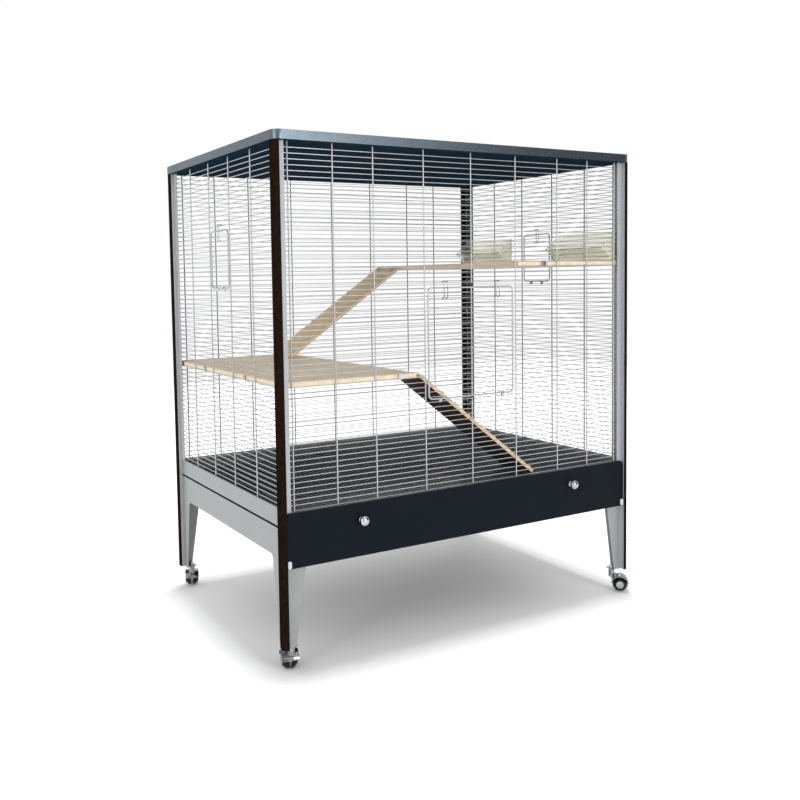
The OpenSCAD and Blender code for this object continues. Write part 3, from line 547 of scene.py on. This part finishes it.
door_body = {"front": "front_door", "left": "left_door", "right": "right_door"}
depth_of = {"front": front_col, "left": side_col, "right": side_col}
door_cols = {"front": [shift_of["front"]], "left": [], "right": []}
latch_in, clip_in, clip_t, clip_w = 48 * mm, 32 * mm, 1.1 * mm, 7 * mm
latch_wire, latch_half, latch_bend = 2.2 * mm, 5 * mm, 1.8 * mm
eye_r, eye_thick, eye_wide, eye_reach = 1.75 * mm, 0.7 * mm, 1.05 * mm, 2.3 * mm
hook_gap, hook_past = 0.4 * mm, 2.5 * mm
chrome = finish("polished chrome", (0.47, 0.475, 0.48), 0.09, metal=1.0, mottle=0.3,
                grain=0.04, grain_size=0.004, depth=0.004 * mm)
for wall, body in door_body.items():
    sill, rows = door_rows[wall]
    near, far = doorway[wall]
    depth = depth_of[wall]
    mirrored = wall == "right"
    x0, x1 = near + door_gap, far - door_gap
    z0, z1 = row_z(sill) + hinge_up, row_z(sill + rows)
    outline = bent([[x0, depth, z0], [x1, depth, z0], [x1, depth, z1], [x0, depth, z1]],
                   frame_r, closed=True)
    parts = [tube(outline, frame_d, 14, closed=True)]
    zs = row_z(np.arange(sill + 1, sill + rows))
    back = depth + door_row
    parts.append(straight_wires(spots(x0, back, zs), spots(x1, back, zs), row_d, 8))
    for x in door_cols[wall]:
        parts.append(straight_wires([[x, back - row_back, z0]], [[x, back - row_back, z1]],
                                    col_d, 12))
    piece_of(f"bent_door_{wall}", [on_wall(p, wall, mirrored) for p in parts], body,
             bright_wire, [f"door_{wall}"])

    circles = [(depth, z0, frame_d / 2), (depth + row_back, row_z(sill), row_d / 2)]
    clips = [moved(belt(circles, clip_t, clip_w), shift=(x, 0, 0))
             for x in (x0 + clip_in, x1 - clip_in)]
    piece_of(f"hinge_clips_{wall}", [on_wall(p, wall, mirrored) for p in clips], "frame",
             chrome)

# each latch is one piece of sprung wire with its eyes round a row wire of the door
latches = [("front_left", "front", doorway["front"][0] + door_gap + latch_in),
           ("front_right", "front", doorway["front"][1] - door_gap - latch_in),
           ("left", "left", shift_of["left"]), ("right", "right", shift_of["right"])]
for name, wall, x in latches:
    sill, rows = door_rows[wall]
    depth = depth_of[wall]
    mirrored = wall == "right"
    pivot_y, pivot_z = depth + door_row, float(row_z(sill + rows - 2))
    front = depth - frame_d / 2 - latch_wire / 2 - fit
    hook_z = float(row_z(sill + rows + 1)) + row_d / 2 + hook_gap + latch_wire / 2
    hook_y = depth + row_back + row_d / 2 + hook_past - latch_wire / 2
    leg = [(pivot_y - eye_reach, pivot_z), (front, pivot_z), (front, hook_z),
           (hook_y, hook_z)]
    path = bent([(x - latch_half, *at) for at in leg]
                + [(x + latch_half, *at) for at in leg[::-1]], latch_bend)
    eye = turned([(eye_r + eye_thick * np.cos(a), eye_wide * np.sin(a))
                  for a in np.linspace(0, 2 * np.pi, 11)[:-1]], 20, True)
    lie = [[0, 0, 1], [0, 1, 0], [-1, 0, 0]]
    eyes = [moved(eye, lie, (x + s * latch_half, pivot_y, pivot_z)) for s in (-1, 1)]
    piece_of(f"sprung_latch_{name}", [on_wall(p, wall, mirrored)
                                      for p in [tube(path, latch_wire, 10)] + eyes],
             f"{name}_latch", chrome, [f"latch_{name}"])

# ---- tray and drawer front --------------------------------------------------
# A deep moulded tray, a floor and four walls, that slides on the ledges of the stand,
# with a powder-coated plate on its front whose upper corners are cut off.

tray_coat = finish("dark tray plastic", (0.004, 0.007, 0.011), 0.30, mottle=0.12,
                   grain=0.12, grain_size=0.0015, specular=0.45, depth=0.03 * mm)
dress("tray", tray_coat, edge=0.6 * mm)
dress("tray_walls", tray_coat, edge=0.6 * mm)
slate_coat = finish("anthracite powder coat", (0.0033, 0.0068, 0.0115), 0.60, mottle=0.08,
                    mottle_size=0.08, grain=0.14, grain_size=0.0007, specular=0.10,
                    depth=0.03 * mm)
dress("drawer_front", slate_coat, edge=0.9 * mm, segments=3)
milky = finish("milky clip plastic", (0.70, 0.72, 0.72), 0.30, mottle=0.05, grain=0.06,
               mottle_size=0.006, depth=0.01 * mm)
dress("drawer_catches", milky, edge=0.6 * mm)

# ---- drawer knobs -----------------------------------------------------------
# Two turned and chromed ball knobs, each on a stepped foot, screwed on from behind.

# the profile is drawn 27 mm wide and the knob is 24 mm wide
knob_out, knob_d, knob_drawn = 309 * mm, 24, 27
knob_z = (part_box("drawer_knobs")[0][2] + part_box("drawer_knobs")[1][2]) / 2
plate_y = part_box("drawer_front")[0][1]
knob_profile = np.array([
    (0.0, -0.02), (8.2, -0.02), (8.4, 0.5), (8.2, 1.2), (7.2, 1.9), (5.9, 2.6), (5.3, 3.6),
    (5.2, 5.0), (5.8, 6.2), (7.6, 7.2), (10.0, 8.4), (11.9, 10.2), (13.0, 12.4),
    (13.4, 14.4), (13.1, 16.6), (12.1, 18.6), (10.4, 20.4), (8.0, 21.9), (5.2, 22.8),
    (2.4, 23.15), (0.0, 23.2)]) * mm * knob_d / knob_drawn
knobs = [moved(turned(knob_profile, 40), [[1, 0, 0], [0, 0, -1], [0, 1, 0]],
               (home[0] + s * knob_out, plate_y, knob_z)) for s in (-1, 1)]
piece_of("turned_knobs", knobs, "drawer", chrome, ["drawer_knobs"], weld=True)

# ---- shelves ----------------------------------------------------------------
# Glued pine boards, 11 mm thick, sanded and left bare, held to the wires of three
# walls by bolts; knots and long grain show on the faces and the edges.

shelf_w, shelf_t, shelf_in_x, shelf_in_y = 338 * mm, 11 * mm, 17 * mm, 19 * mm
shelf_out, shelf_half = cage_w / 2 - shelf_in_x, cage_d / 2 - shelf_in_y
shelf_edge = shelf_out - shelf_w
lower_mid, upper_mid = (float(row_z(k)) + row_pitch / 2 for k in (21, 42))


def pine(name, light, dark, along, knots=0.5, waves=16):
    """Sawn pine: bands of early and late wood are waves over a broad noise, drawn out
    along one axis; cells of a voronoi pattern, thinned out, are the knots."""
    material, tree, shader, node = shader_of(name)
    place = node("TexCoord").outputs["Object"]
    drawn_scale = [0.055 if axis == along else 1.0 for axis in "XYZ"]
    cell_scale = [3.4 if axis == along else 6.5 for axis in "XYZ"]
    drawn = node("Mapping", {"Vector": place, "Scale": drawn_scale}).outputs[0]
    bend = node("TexNoise", {"Vector": drawn, "Scale": 9.0, "Detail": 3})
    ripple = node("Math", {0: bend.outputs["Fac"], 1: 6.283 * waves}, operation="MULTIPLY")
    bands = node("Math", {0: ripple.outputs[0]}, operation="SINE")
    late = node("MapRange", {"Value": bands.outputs[0], "From Min": -1.0, "From Max": 1.0})
    fibre = node("TexNoise", {"Vector": drawn, "Scale": 900.0, "Detail": 3})
    mix = node("Math", {0: late.outputs[0], 1: fibre.outputs["Fac"]}, operation="MULTIPLY")
    tint = node("ValToRGB", {"Fac": mix.outputs[0]})
    for stop, at, shade in zip(tint.color_ramp.elements, (0.05, 0.75), (light, dark)):
        stop.position, stop.color = at, (*shade, 1)
    cells = node("Mapping", {"Vector": place, "Scale": cell_scale}).outputs[0]
    knot = node("TexVoronoi", {"Vector": cells, "Scale": 1.0, "Randomness": 1.0})
    spot = node("MapRange", {"Value": knot.outputs["Distance"], "From Min": 0.03,
                             "From Max": 0.075, "To Min": 1.0, "To Max": 0.0})
    some = node("SeparateColor", {"Color": knot.outputs["Color"]})
    chosen = node("Math", {0: some.outputs[0], 1: 1 - knots}, operation="GREATER_THAN")
    weight = node("Math", {0: spot.outputs[0], 1: chosen.outputs[0]}, operation="MULTIPLY")
    faded = node("Math", {0: weight.outputs[0], 1: 0.75}, operation="MULTIPLY")
    knot_colour = (dark[0] * 0.35, dark[1] * 0.26, dark[2] * 0.2, 1)
    mixer = node("MixRGB", {0: faded.outputs[0], 1: tint.outputs["Color"], 2: knot_colour})
    tree.links.new(mixer.outputs[0], shader.inputs["Base Color"])
    rough = node("MapRange", {"Value": fibre.outputs["Fac"], "From Min": 0.3,
                              "From Max": 0.7, "To Min": 0.5, "To Max": 0.72})
    tree.links.new(rough.outputs[0], shader.inputs["Roughness"])
    bump = node("Bump", {"Height": mix.outputs[0], "Strength": 0.35, "Distance": 0.12 * mm})
    tree.links.new(bump.outputs["Normal"], shader.inputs["Normal"])
    shader.inputs["Specular IOR Level"].default_value = 0.35
    return material


def bar(size, radius, steps=4):
    """A board with rounded edges along X, centred on the origin: rounded-rectangle
    sections, shrunk at both ends along a quarter circle."""
    length, width, height = size
    t = np.linspace(0, np.pi / 2, steps + 1)
    inset = radius * (1 - np.sin(t))
    at = -length / 2 + radius * (1 - np.cos(t))
    stations = np.concatenate([np.stack([at, inset], -1), np.stack([-at, inset], -1)[::-1]])
    grid = []
    for x, d in stations:
        r = max(radius - d, 0.02 * mm)
        for i, (sy, sz) in enumerate(((1, 1), (-1, 1), (-1, -1), (1, -1))):
            a = t + i * np.pi / 2
            grid.append(spots(x, sy * (width / 2 - d - r) + r * np.cos(a),
                              sz * (height / 2 - d - r) + r * np.sin(a)))
    return skin(np.reshape(grid, (len(stations), -1, 3)))


bare_pine = pine("bare pine", (0.92, 0.78, 0.58), (0.82, 0.65, 0.44), "Y")
planks, glue_line, board_r = 4, 0.15 * mm, 0.9 * mm
plank_w = shelf_w / planks
quarter_turn = [[0, -1, 0], [1, 0, 0], [0, 0, 1]]
plank = bar((2 * shelf_half, plank_w - glue_line, shelf_t), board_r, 3)
for name, middle, turn in (("lower", lower_mid, 1), ("upper", upper_mid, -1)):
    boards = [moved(plank, quarter_turn,
                    home + (-turn * (shelf_out - (i + 0.5) * plank_w), 0, middle))
              for i in range(planks)]
    piece_of(f"pine_shelf_{name}", boards, "frame", bare_pine, [f"shelf_{name}"])

zinc = finish("zinc plated steel", (0.62, 0.63, 0.64), 0.28, metal=1.0, mottle=0.06,
              mottle_size=0.004, grain=0.10, grain_size=0.0008, depth=0.01 * mm)
dress("shelf_bolts", zinc, edge=0.3 * mm)
dress("ramp_pivots", zinc, edge=0.3 * mm)

# ---- ramps ------------------------------------------------------------------
# Pine ladders: a thin board with glued cross battens to climb on; the lower one has
# a dark brown underside. Wire hooks at the top hang on a pin at the shelf's edge.

ramp_w, ramp_l, ramp_t = 118 * mm, 432 * mm, 9 * mm
knuckle_r, pivot_out = 4.05 * mm, 9 * mm
board_l = ramp_l - knuckle_r - 1.2 * mm
rung_h, rung_w, rung_in, rung_sunk = 4 * mm, 6 * mm, 6 * mm, 1 * mm
rung_from, rung_pitch = 36 * mm, 48 * mm
hook_wire, loop_r, hook_in, hook_apart = 1.8 * mm, 3.35 * mm, 20 * mm, 4.5 * mm


def slope_of(drop):
    """Slope at which the board's lower corner comes to rest a drop below its pin."""
    return np.arcsin(drop / np.hypot(ramp_l, ramp_t / 2)) - np.arctan2(ramp_t / 2, ramp_l)


ramp_pine = pine("ramp pine", (0.82, 0.66, 0.44), (0.70, 0.52, 0.32), "X", knots=0.35)
dark_side = finish("brown ramp underside", (0.035, 0.020, 0.014), 0.55, mottle=0.3,
                   mottle_size=0.02, grain=0.12, grain_size=0.0015, streak=(0.05, 1, 1),
                   depth=0.03 * mm)
# pin's place, heading and slope; the lower ramp rests on the wire floor and the upper
# one on the lower shelf, 4 and 16 mm clear of the ends of the shelves
ramp_out = shelf_half - fit - ramp_w / 2
ramps = (("lower", -shelf_edge + pivot_out, -(ramp_out - 4 * mm), lower_mid, 1,
          slope_of(lower_mid - floor_top - fit)),
         ("upper", shelf_edge - pivot_out, ramp_out - 16 * mm, upper_mid, -1,
          slope_of(upper_mid - lower_mid - shelf_t / 2 - fit)))
for name, x, y, z, way, slope in ramps:
    parts = [moved(bar((board_l, ramp_w, ramp_t), 1.2 * mm, 3),
                   shift=(ramp_l - board_l / 2, 0, 0))]
    for at in np.arange(rung_from, ramp_l - rung_h, rung_pitch):
        parts.append(moved(bar((rung_w, ramp_w - 2 * rung_in, rung_h + rung_sunk),
                               1.1 * mm, 3),
                           shift=(at + rung_w / 2, 0, ramp_t / 2 + (rung_h - rung_sunk) / 2)))
    c, s = np.cos(slope), np.sin(slope)
    tilt = np.array([[c, 0, s], [0, 1, 0], [-s, 0, c]])
    turn = np.diag([way, way, 1.0]) @ tilt
    spot = home + (x, y, z)
    made = piece_of(f"pine_ramp_{name}", [moved(p, turn, spot) for p in parts],
                    f"{name}_ramp", ramp_pine, [f"ramp_{name}"])
    if name == "lower":
        by_facing(made, [dark_side], lambda normals: normals @ turn[:, 2] < -0.9)
    hooks = []
    for side in (-1, 1):
        for shift in (-hook_apart, hook_apart):
            y_at = side * (ramp_w / 2 - hook_in) + shift
            angle = np.linspace(np.radians(-150), np.radians(150), 22)
            loop = spots(-loop_r * np.cos(angle), y_at, loop_r * np.sin(angle))
            tail = spots([6.2 * mm, 16 * mm], y_at, (ramp_t + hook_wire) / 2)
            hooks.append(tube(np.concatenate([loop, tail]), hook_wire, 8))
    piece_of(f"ramp_hooks_{name}", [moved(p, turn, spot) for p in hooks],
             f"{name}_ramp", zinc)

# ---- troughs ----------------------------------------------------------------
# Two thin moulded feeding troughs of milky cream plastic that stand on the upper shelf
# with their backs to the wires; the front wall flares out to a low lip.

trough_h, trough_lip, trough_foot, trough_reach = 79 * mm, 35 * mm, 26 * mm, 55 * mm
trough_knee, knee_z, trough_t, corner_r = 30 * mm, 18 * mm, 2 * mm, 5 * mm


def trough_outline(half, inset, z_share, arc=8, straight=10):
    """Outline of a trough of a half length, at a share of its rim height: x runs from
    the back wall to the flared front, whose place follows the profile, y along it."""
    z = z_share * trough_lip
    deep = np.interp(z, [0, knee_z, trough_lip], [trough_foot, trough_knee, trough_reach])
    points = []
    for i, (sx, sy) in enumerate(((1, 1), (0, 1), (0, -1), (1, -1))):
        a = np.linspace(0, np.pi / 2, arc + 1) + i * np.pi / 2
        x = (deep - inset - corner_r if sx else inset + corner_r) + corner_r * np.cos(a)
        y = sy * (half - inset - corner_r) + corner_r * np.sin(a)
        points.append(np.stack([x, y], -1))
    path = []
    for i in range(4):
        t = np.linspace(0, 1, straight + 2)[1:-1, None]
        path += [points[i], points[i][-1] * (1 - t) + points[(i + 1) % 4][0] * t]
    return np.concatenate(path), deep


def trough_shell(half):
    """Rings up the outer wall, over the rounded rim, down the inner wall and in to the
    floor; each point's rim height falls in a line from the back wall to the lip."""
    rings = []

    def add(share, inset, drop=0.0):
        path, deep = trough_outline(half, inset, share)
        rim = trough_h + (trough_lip - trough_h) * np.clip(path[:, 0] / deep, 0, 1)
        rings.append(np.column_stack([path, share * rim - drop]))

    def add_floor(inset, z):
        path, _ = trough_outline(half, inset, 0)
        rings.append(np.column_stack([path, np.full(len(path), z)]))

    shares = (0.2, 0.4, 0.5, 0.56, 0.7, 0.85, 0.95)
    add_floor(7 * mm, 0)
    add_floor(0.8 * mm, 0)
    add_floor(0.1 * mm, 0.7 * mm)
    for share in shares:
        add(share, 0)
    for a in np.linspace(0, np.pi, 7):
        add(1, trough_t / 2 * (1 - np.cos(a)), trough_t / 2 * (1 - np.sin(a)))
    for share in shares[::-1]:
        add(share, trough_t)
    add_floor(trough_t + 0.2 * mm, trough_t + 1.2 * mm)
    add_floor(trough_t + 1 * mm, trough_t)
    add_floor(7 * mm, trough_t)
    return skin(np.array(rings))


cream = finish("milky cream plastic", (1.0, 0.99, 0.86), 0.12, mottle=0.04,
               mottle_size=0.03, grain=0.08, grain_size=0.002, coat=0.1,
               depth=0.02 * mm)
cream_shader = cream.node_tree.nodes["Principled BSDF"]
cream_shader.inputs["IOR"].default_value = 1.25
cream_shader.inputs["Transmission Weight"].default_value = 0.8
cream_shader.inputs["Subsurface Weight"].default_value = 0.3
cream_shader.inputs["Subsurface Radius"].default_value = (0.02, 0.016, 0.008)
for name in ("front", "back"):
    low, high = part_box(f"trough_{name}")
    piece_of(f"moulded_trough_{name}",
             [moved(trough_shell((high[1] - low[1]) / 2), np.diag([-1.0, -1.0, 1.0]),
                    (high[0], (low[1] + high[1]) / 2, low[2]))],
             "frame", cream, [f"trough_{name}"], smooth=50)

# ---- castors ----------------------------------------------------------------
# Twin-wheel castors: a chromed hood turns on a threaded stem that a hexagon nut holds
# in the leg's tab; two black moulded wheels, each half a ball with a chromed hub disc,
# turn on one axle.

wheel_d, wheel_w, web_t, trail = 40 * mm, 14.5 * mm, 6 * mm, 22 * mm
axle_z = wheel_d / 2
stem_in_x, stem_in_y, wheel_gap = 28 * mm, 29 * mm, 0.5 * mm
# each castor's heading in degrees, and the way it stands from the middle
headings = {("front", "left"): (78, -1, -1), ("front", "right"): (-46, 1, -1),
            ("back", "left"): (72, -1, 1), ("back", "right"): (115, 1, 1)}
# the hood's chrome is coloured dark and strongly mottled in small patches: painted reflections
# of dark and bright surroundings
castor_chrome_painted_reflection = finish("castor chrome with painted reflections", (0.29, 0.30, 0.32), 0.10, metal=1.0, mottle=0.5,
                       mottle_size=0.006, grain=0.04, grain_size=0.004, depth=0.01 * mm)
black_wheel = finish("black moulded wheel", (0.007, 0.007, 0.008), 0.30, mottle=0.2,
                     mottle_size=0.01, grain=0.10, grain_size=0.0009, specular=0.25,
                     depth=0.04 * mm)
dress("castor_stems", zinc, edge=0.3 * mm)
inner = web_t / 2 + wheel_gap
ball_r = np.hypot(wheel_d / 2, inner)


def tread_profile(groove=0.35 * mm, groove_w=0.3 * mm, hub_r=10.1 * mm, steps=22):
    """Half a ball from the wheels' gap to the hub disc's seat: the radius at a distance
    x from the middle is sqrt(ball_r^2 - x^2), less a fine parting groove halfway."""
    length = wheel_w - 0.9 * mm
    groove_at = 0.42 * length
    x = np.linspace(0.6 * mm, length, steps)
    r = np.sqrt(ball_r**2 - (inner + x)**2)
    r -= groove * np.exp(-((x - groove_at) / groove_w)**2)
    start = [(0, 0), (17.2 * mm, 0), (r[0] - 0.5 * mm, 0.1 * mm)]
    end = [(r[-1] - 0.5 * mm, length + 0.35 * mm), (hub_r + 0.3 * mm, length + 0.4 * mm),
           (hub_r, length + 0.1 * mm), (hub_r, length - 0.8 * mm), (0, length - 0.8 * mm)]
    return np.array(start + list(zip(r, x)) + end)


tread = tread_profile()
hub = np.array([(0.0, 12.5), (9.9, 12.5), (9.9, 13.4), (9.5, 13.8), (8.6, 13.95),
                (7.2, 13.6), (5.6, 13.4), (4.4, 13.6), (2.8, 13.9), (0.0, 13.98)]) * mm
for (end, side), (heading, sx, sy) in headings.items():
    a = np.radians(heading)
    face = np.array([[np.cos(a), -np.sin(a), 0], [np.sin(a), np.cos(a), 0], [0, 0, 1]])
    spot = home + (sx * (cage_w / 2 - stem_in_x), sy * (cage_d / 2 - stem_in_y), 0)
    wheels, hubs = [], []
    for way in (1, -1):
        out = np.array([[way, 0, 0], [0, 0, way], [0, -1, 0]])
        offset = (trail, way * inner, axle_z)
        for group, profile in ((wheels, tread), (hubs, hub)):
            group.append(moved(moved(turned(profile, 48), out, offset), face, spot))
    body = f"wheel_pair_{end}_{side}"
    piece_of(f"castor_wheels_{end}_{side}", wheels, body, black_wheel,
             [f"wheels_{end}_{side}"], weld=True, smooth=35)
    piece_of(f"castor_hubs_{end}_{side}", hubs, body, chrome, weld=True,
             smooth=35)
    dress(f"hood_{end}_{side}", castor_chrome_painted_reflection, edge=0.5 * mm)

# ---- room -------------------------------------------------------------------
# A pale floor that keeps the soft shadow, a white surround, four soft boxes, one soft
# light far above and three black flags; the camera stands at the photograph's angle.


def flat_sheet(name, corner_points):
    """A sheet with four corners."""
    mesh = bpy.data.meshes.new(name)
    mesh.from_pydata([tuple(point) for point in corner_points], [], [(0, 1, 2, 3)])
    return add_object(name, mesh)


def put(made, place, right, up, back):
    """Stands a lamp or camera at a place, with its own axes along three directions."""
    pose = Matrix.Identity(4)
    for column, axis in enumerate((right, up, back, place)):
        for row in range(3):
            pose[row][column] = axis[row]
    made.matrix_world = pose


def lamp(name, place, target, size, power):
    """A square soft box that looks from its place at a target."""
    data = bpy.data.lights.new(name, "AREA")
    data.size = size
    data.energy = power
    back = unit(np.array(place, float) - np.array(target, float))
    right = unit(np.cross([0.0, 1.0, 0.0] if abs(back[2]) > 0.95 else [0.0, 0.0, 1.0],
                          back))
    put(add_object(name, data), place, right, np.cross(back, right), back)


floor = flat_sheet("pale_floor", [(-5, -5, 0), (5, -5, 0), (5, 5, 0), (-5, 5, 0)])
# the paper is white to the camera and in mirrors, and greyer as a source of light
paper = bpy.data.materials.new("pale paper")
paper.use_nodes = True
paper.node_tree.nodes.clear()
node = node_maker(paper.node_tree)
rays = node("LightPath").outputs
bounced = node("Math", {0: rays["Is Glossy Ray"], 1: rays["Is Transmission Ray"]},
               operation="MAXIMUM")
seen = node("Math", {0: rays["Is Camera Ray"], 1: bounced.outputs[0]}, operation="MAXIMUM")
shade = node("MixRGB", {0: seen.outputs[0], 1: (0.72, 0.72, 0.72, 1), 2: (1, 1, 1, 1)})
matt = node("BsdfDiffuse", {"Color": shade.outputs[0]})
node("OutputMaterial", {"Surface": matt.outputs[0]})
floor.data.materials.append(paper)

# the surround is white to the camera and through clear plastic, and weaker as a light
world = bpy.data.worlds.new("white surround")
bpy.context.scene.world = world
world.use_nodes = True
world.node_tree.nodes.clear()
node = node_maker(world.node_tree)
rays = node("LightPath").outputs
direct = node("Math", {0: rays["Is Camera Ray"], 1: rays["Is Transmission Ray"]},
              operation="MAXIMUM")
strength = node("MapRange", {"Value": direct.outputs[0], "To Min": 0.80, "To Max": 1.0})
glow = node("Background", {"Color": (1, 1, 1, 1), "Strength": strength.outputs[0]})
node("OutputWorld", {"Surface": glow.outputs[0]})

middle = (home[0], home[1], 0.6)  # of the cage, where the lamps look
black_cloth = finish("black cloth", (0.01, 0.01, 0.01), 0.9, specular=0.1)
# black flags beside the view give the chrome something dark to mirror
for name, place, width, height in (("flag_left", (-3.4, -1.2, 0.45), 1.2, 0.9),
                                   ("flag_near", (-2.4, -4.2, 0.4), 2.6, 0.8),
                                   ("flag_right", (2.6, -2.5, 1.5), 1.8, 2.8)):
    across = np.array([-place[1], place[0], 0]) / np.hypot(*place[:2]) * width / 2
    flag = flat_sheet(name, [np.array(place) + side * across + (0, 0, lift * height / 2)
                             for side, lift in ((-1, -1), (1, -1), (1, 1), (-1, 1))])
    flag.data.materials.append(black_cloth)
lamp("front_left", (-4.0, -1.6, 1.9), middle, 2.4, 26)
lamp("front", (0.8, -4.2, 1.2), middle, 1.4, 40)
lamp("corner_light", (-3.9, -2.0, 1.35), middle, 0.7, 10)
lamp("back_right", (2.6, 3.2, 2.4), middle, 2.4, 25)
# a soft light far above gives the shadow its even tone and its edge
lamp("overhead", (home[0] + 0.28, home[1] + 0.26, 20), home, 1.8, 2050)

# the camera as fitted to the photograph: lens and centre of view in its pixels, angles
# in radians, and its place from the middle of the cage's foot
picture_px, sensor_mm = 800, 36
lens_px, centre_px = 890.87, (348.5, 336.1)
yaw, pitch, roll = 0.514, -0.065, -0.017
stand_at = home + (-1.2823, -2.0171, 0.8480)
ahead = np.array([np.sin(yaw) * np.cos(pitch), np.cos(yaw) * np.cos(pitch), np.sin(pitch)])
level_right = np.array([np.cos(yaw), -np.sin(yaw), 0])
level_up = np.cross(level_right, ahead)
right = np.cos(roll) * level_right + np.sin(roll) * level_up
up = -np.sin(roll) * level_right + np.cos(roll) * level_up
camera_data = bpy.data.cameras.new("photo_camera")
camera_data.sensor_width = sensor_mm
camera_data.lens = lens_px * sensor_mm / picture_px
camera_data.shift_x = (picture_px / 2 - centre_px[0]) / picture_px
camera_data.shift_y = (centre_px[1] - picture_px / 2) / picture_px
camera_data.clip_end = 100
camera = add_object("photo_camera", camera_data)
put(camera, stand_at, right, up, -ahead)
bpy.context.scene.camera = camera
bpy.context.scene.view_settings.view_transform = "Standard"

bpy.context.view_layer.update()
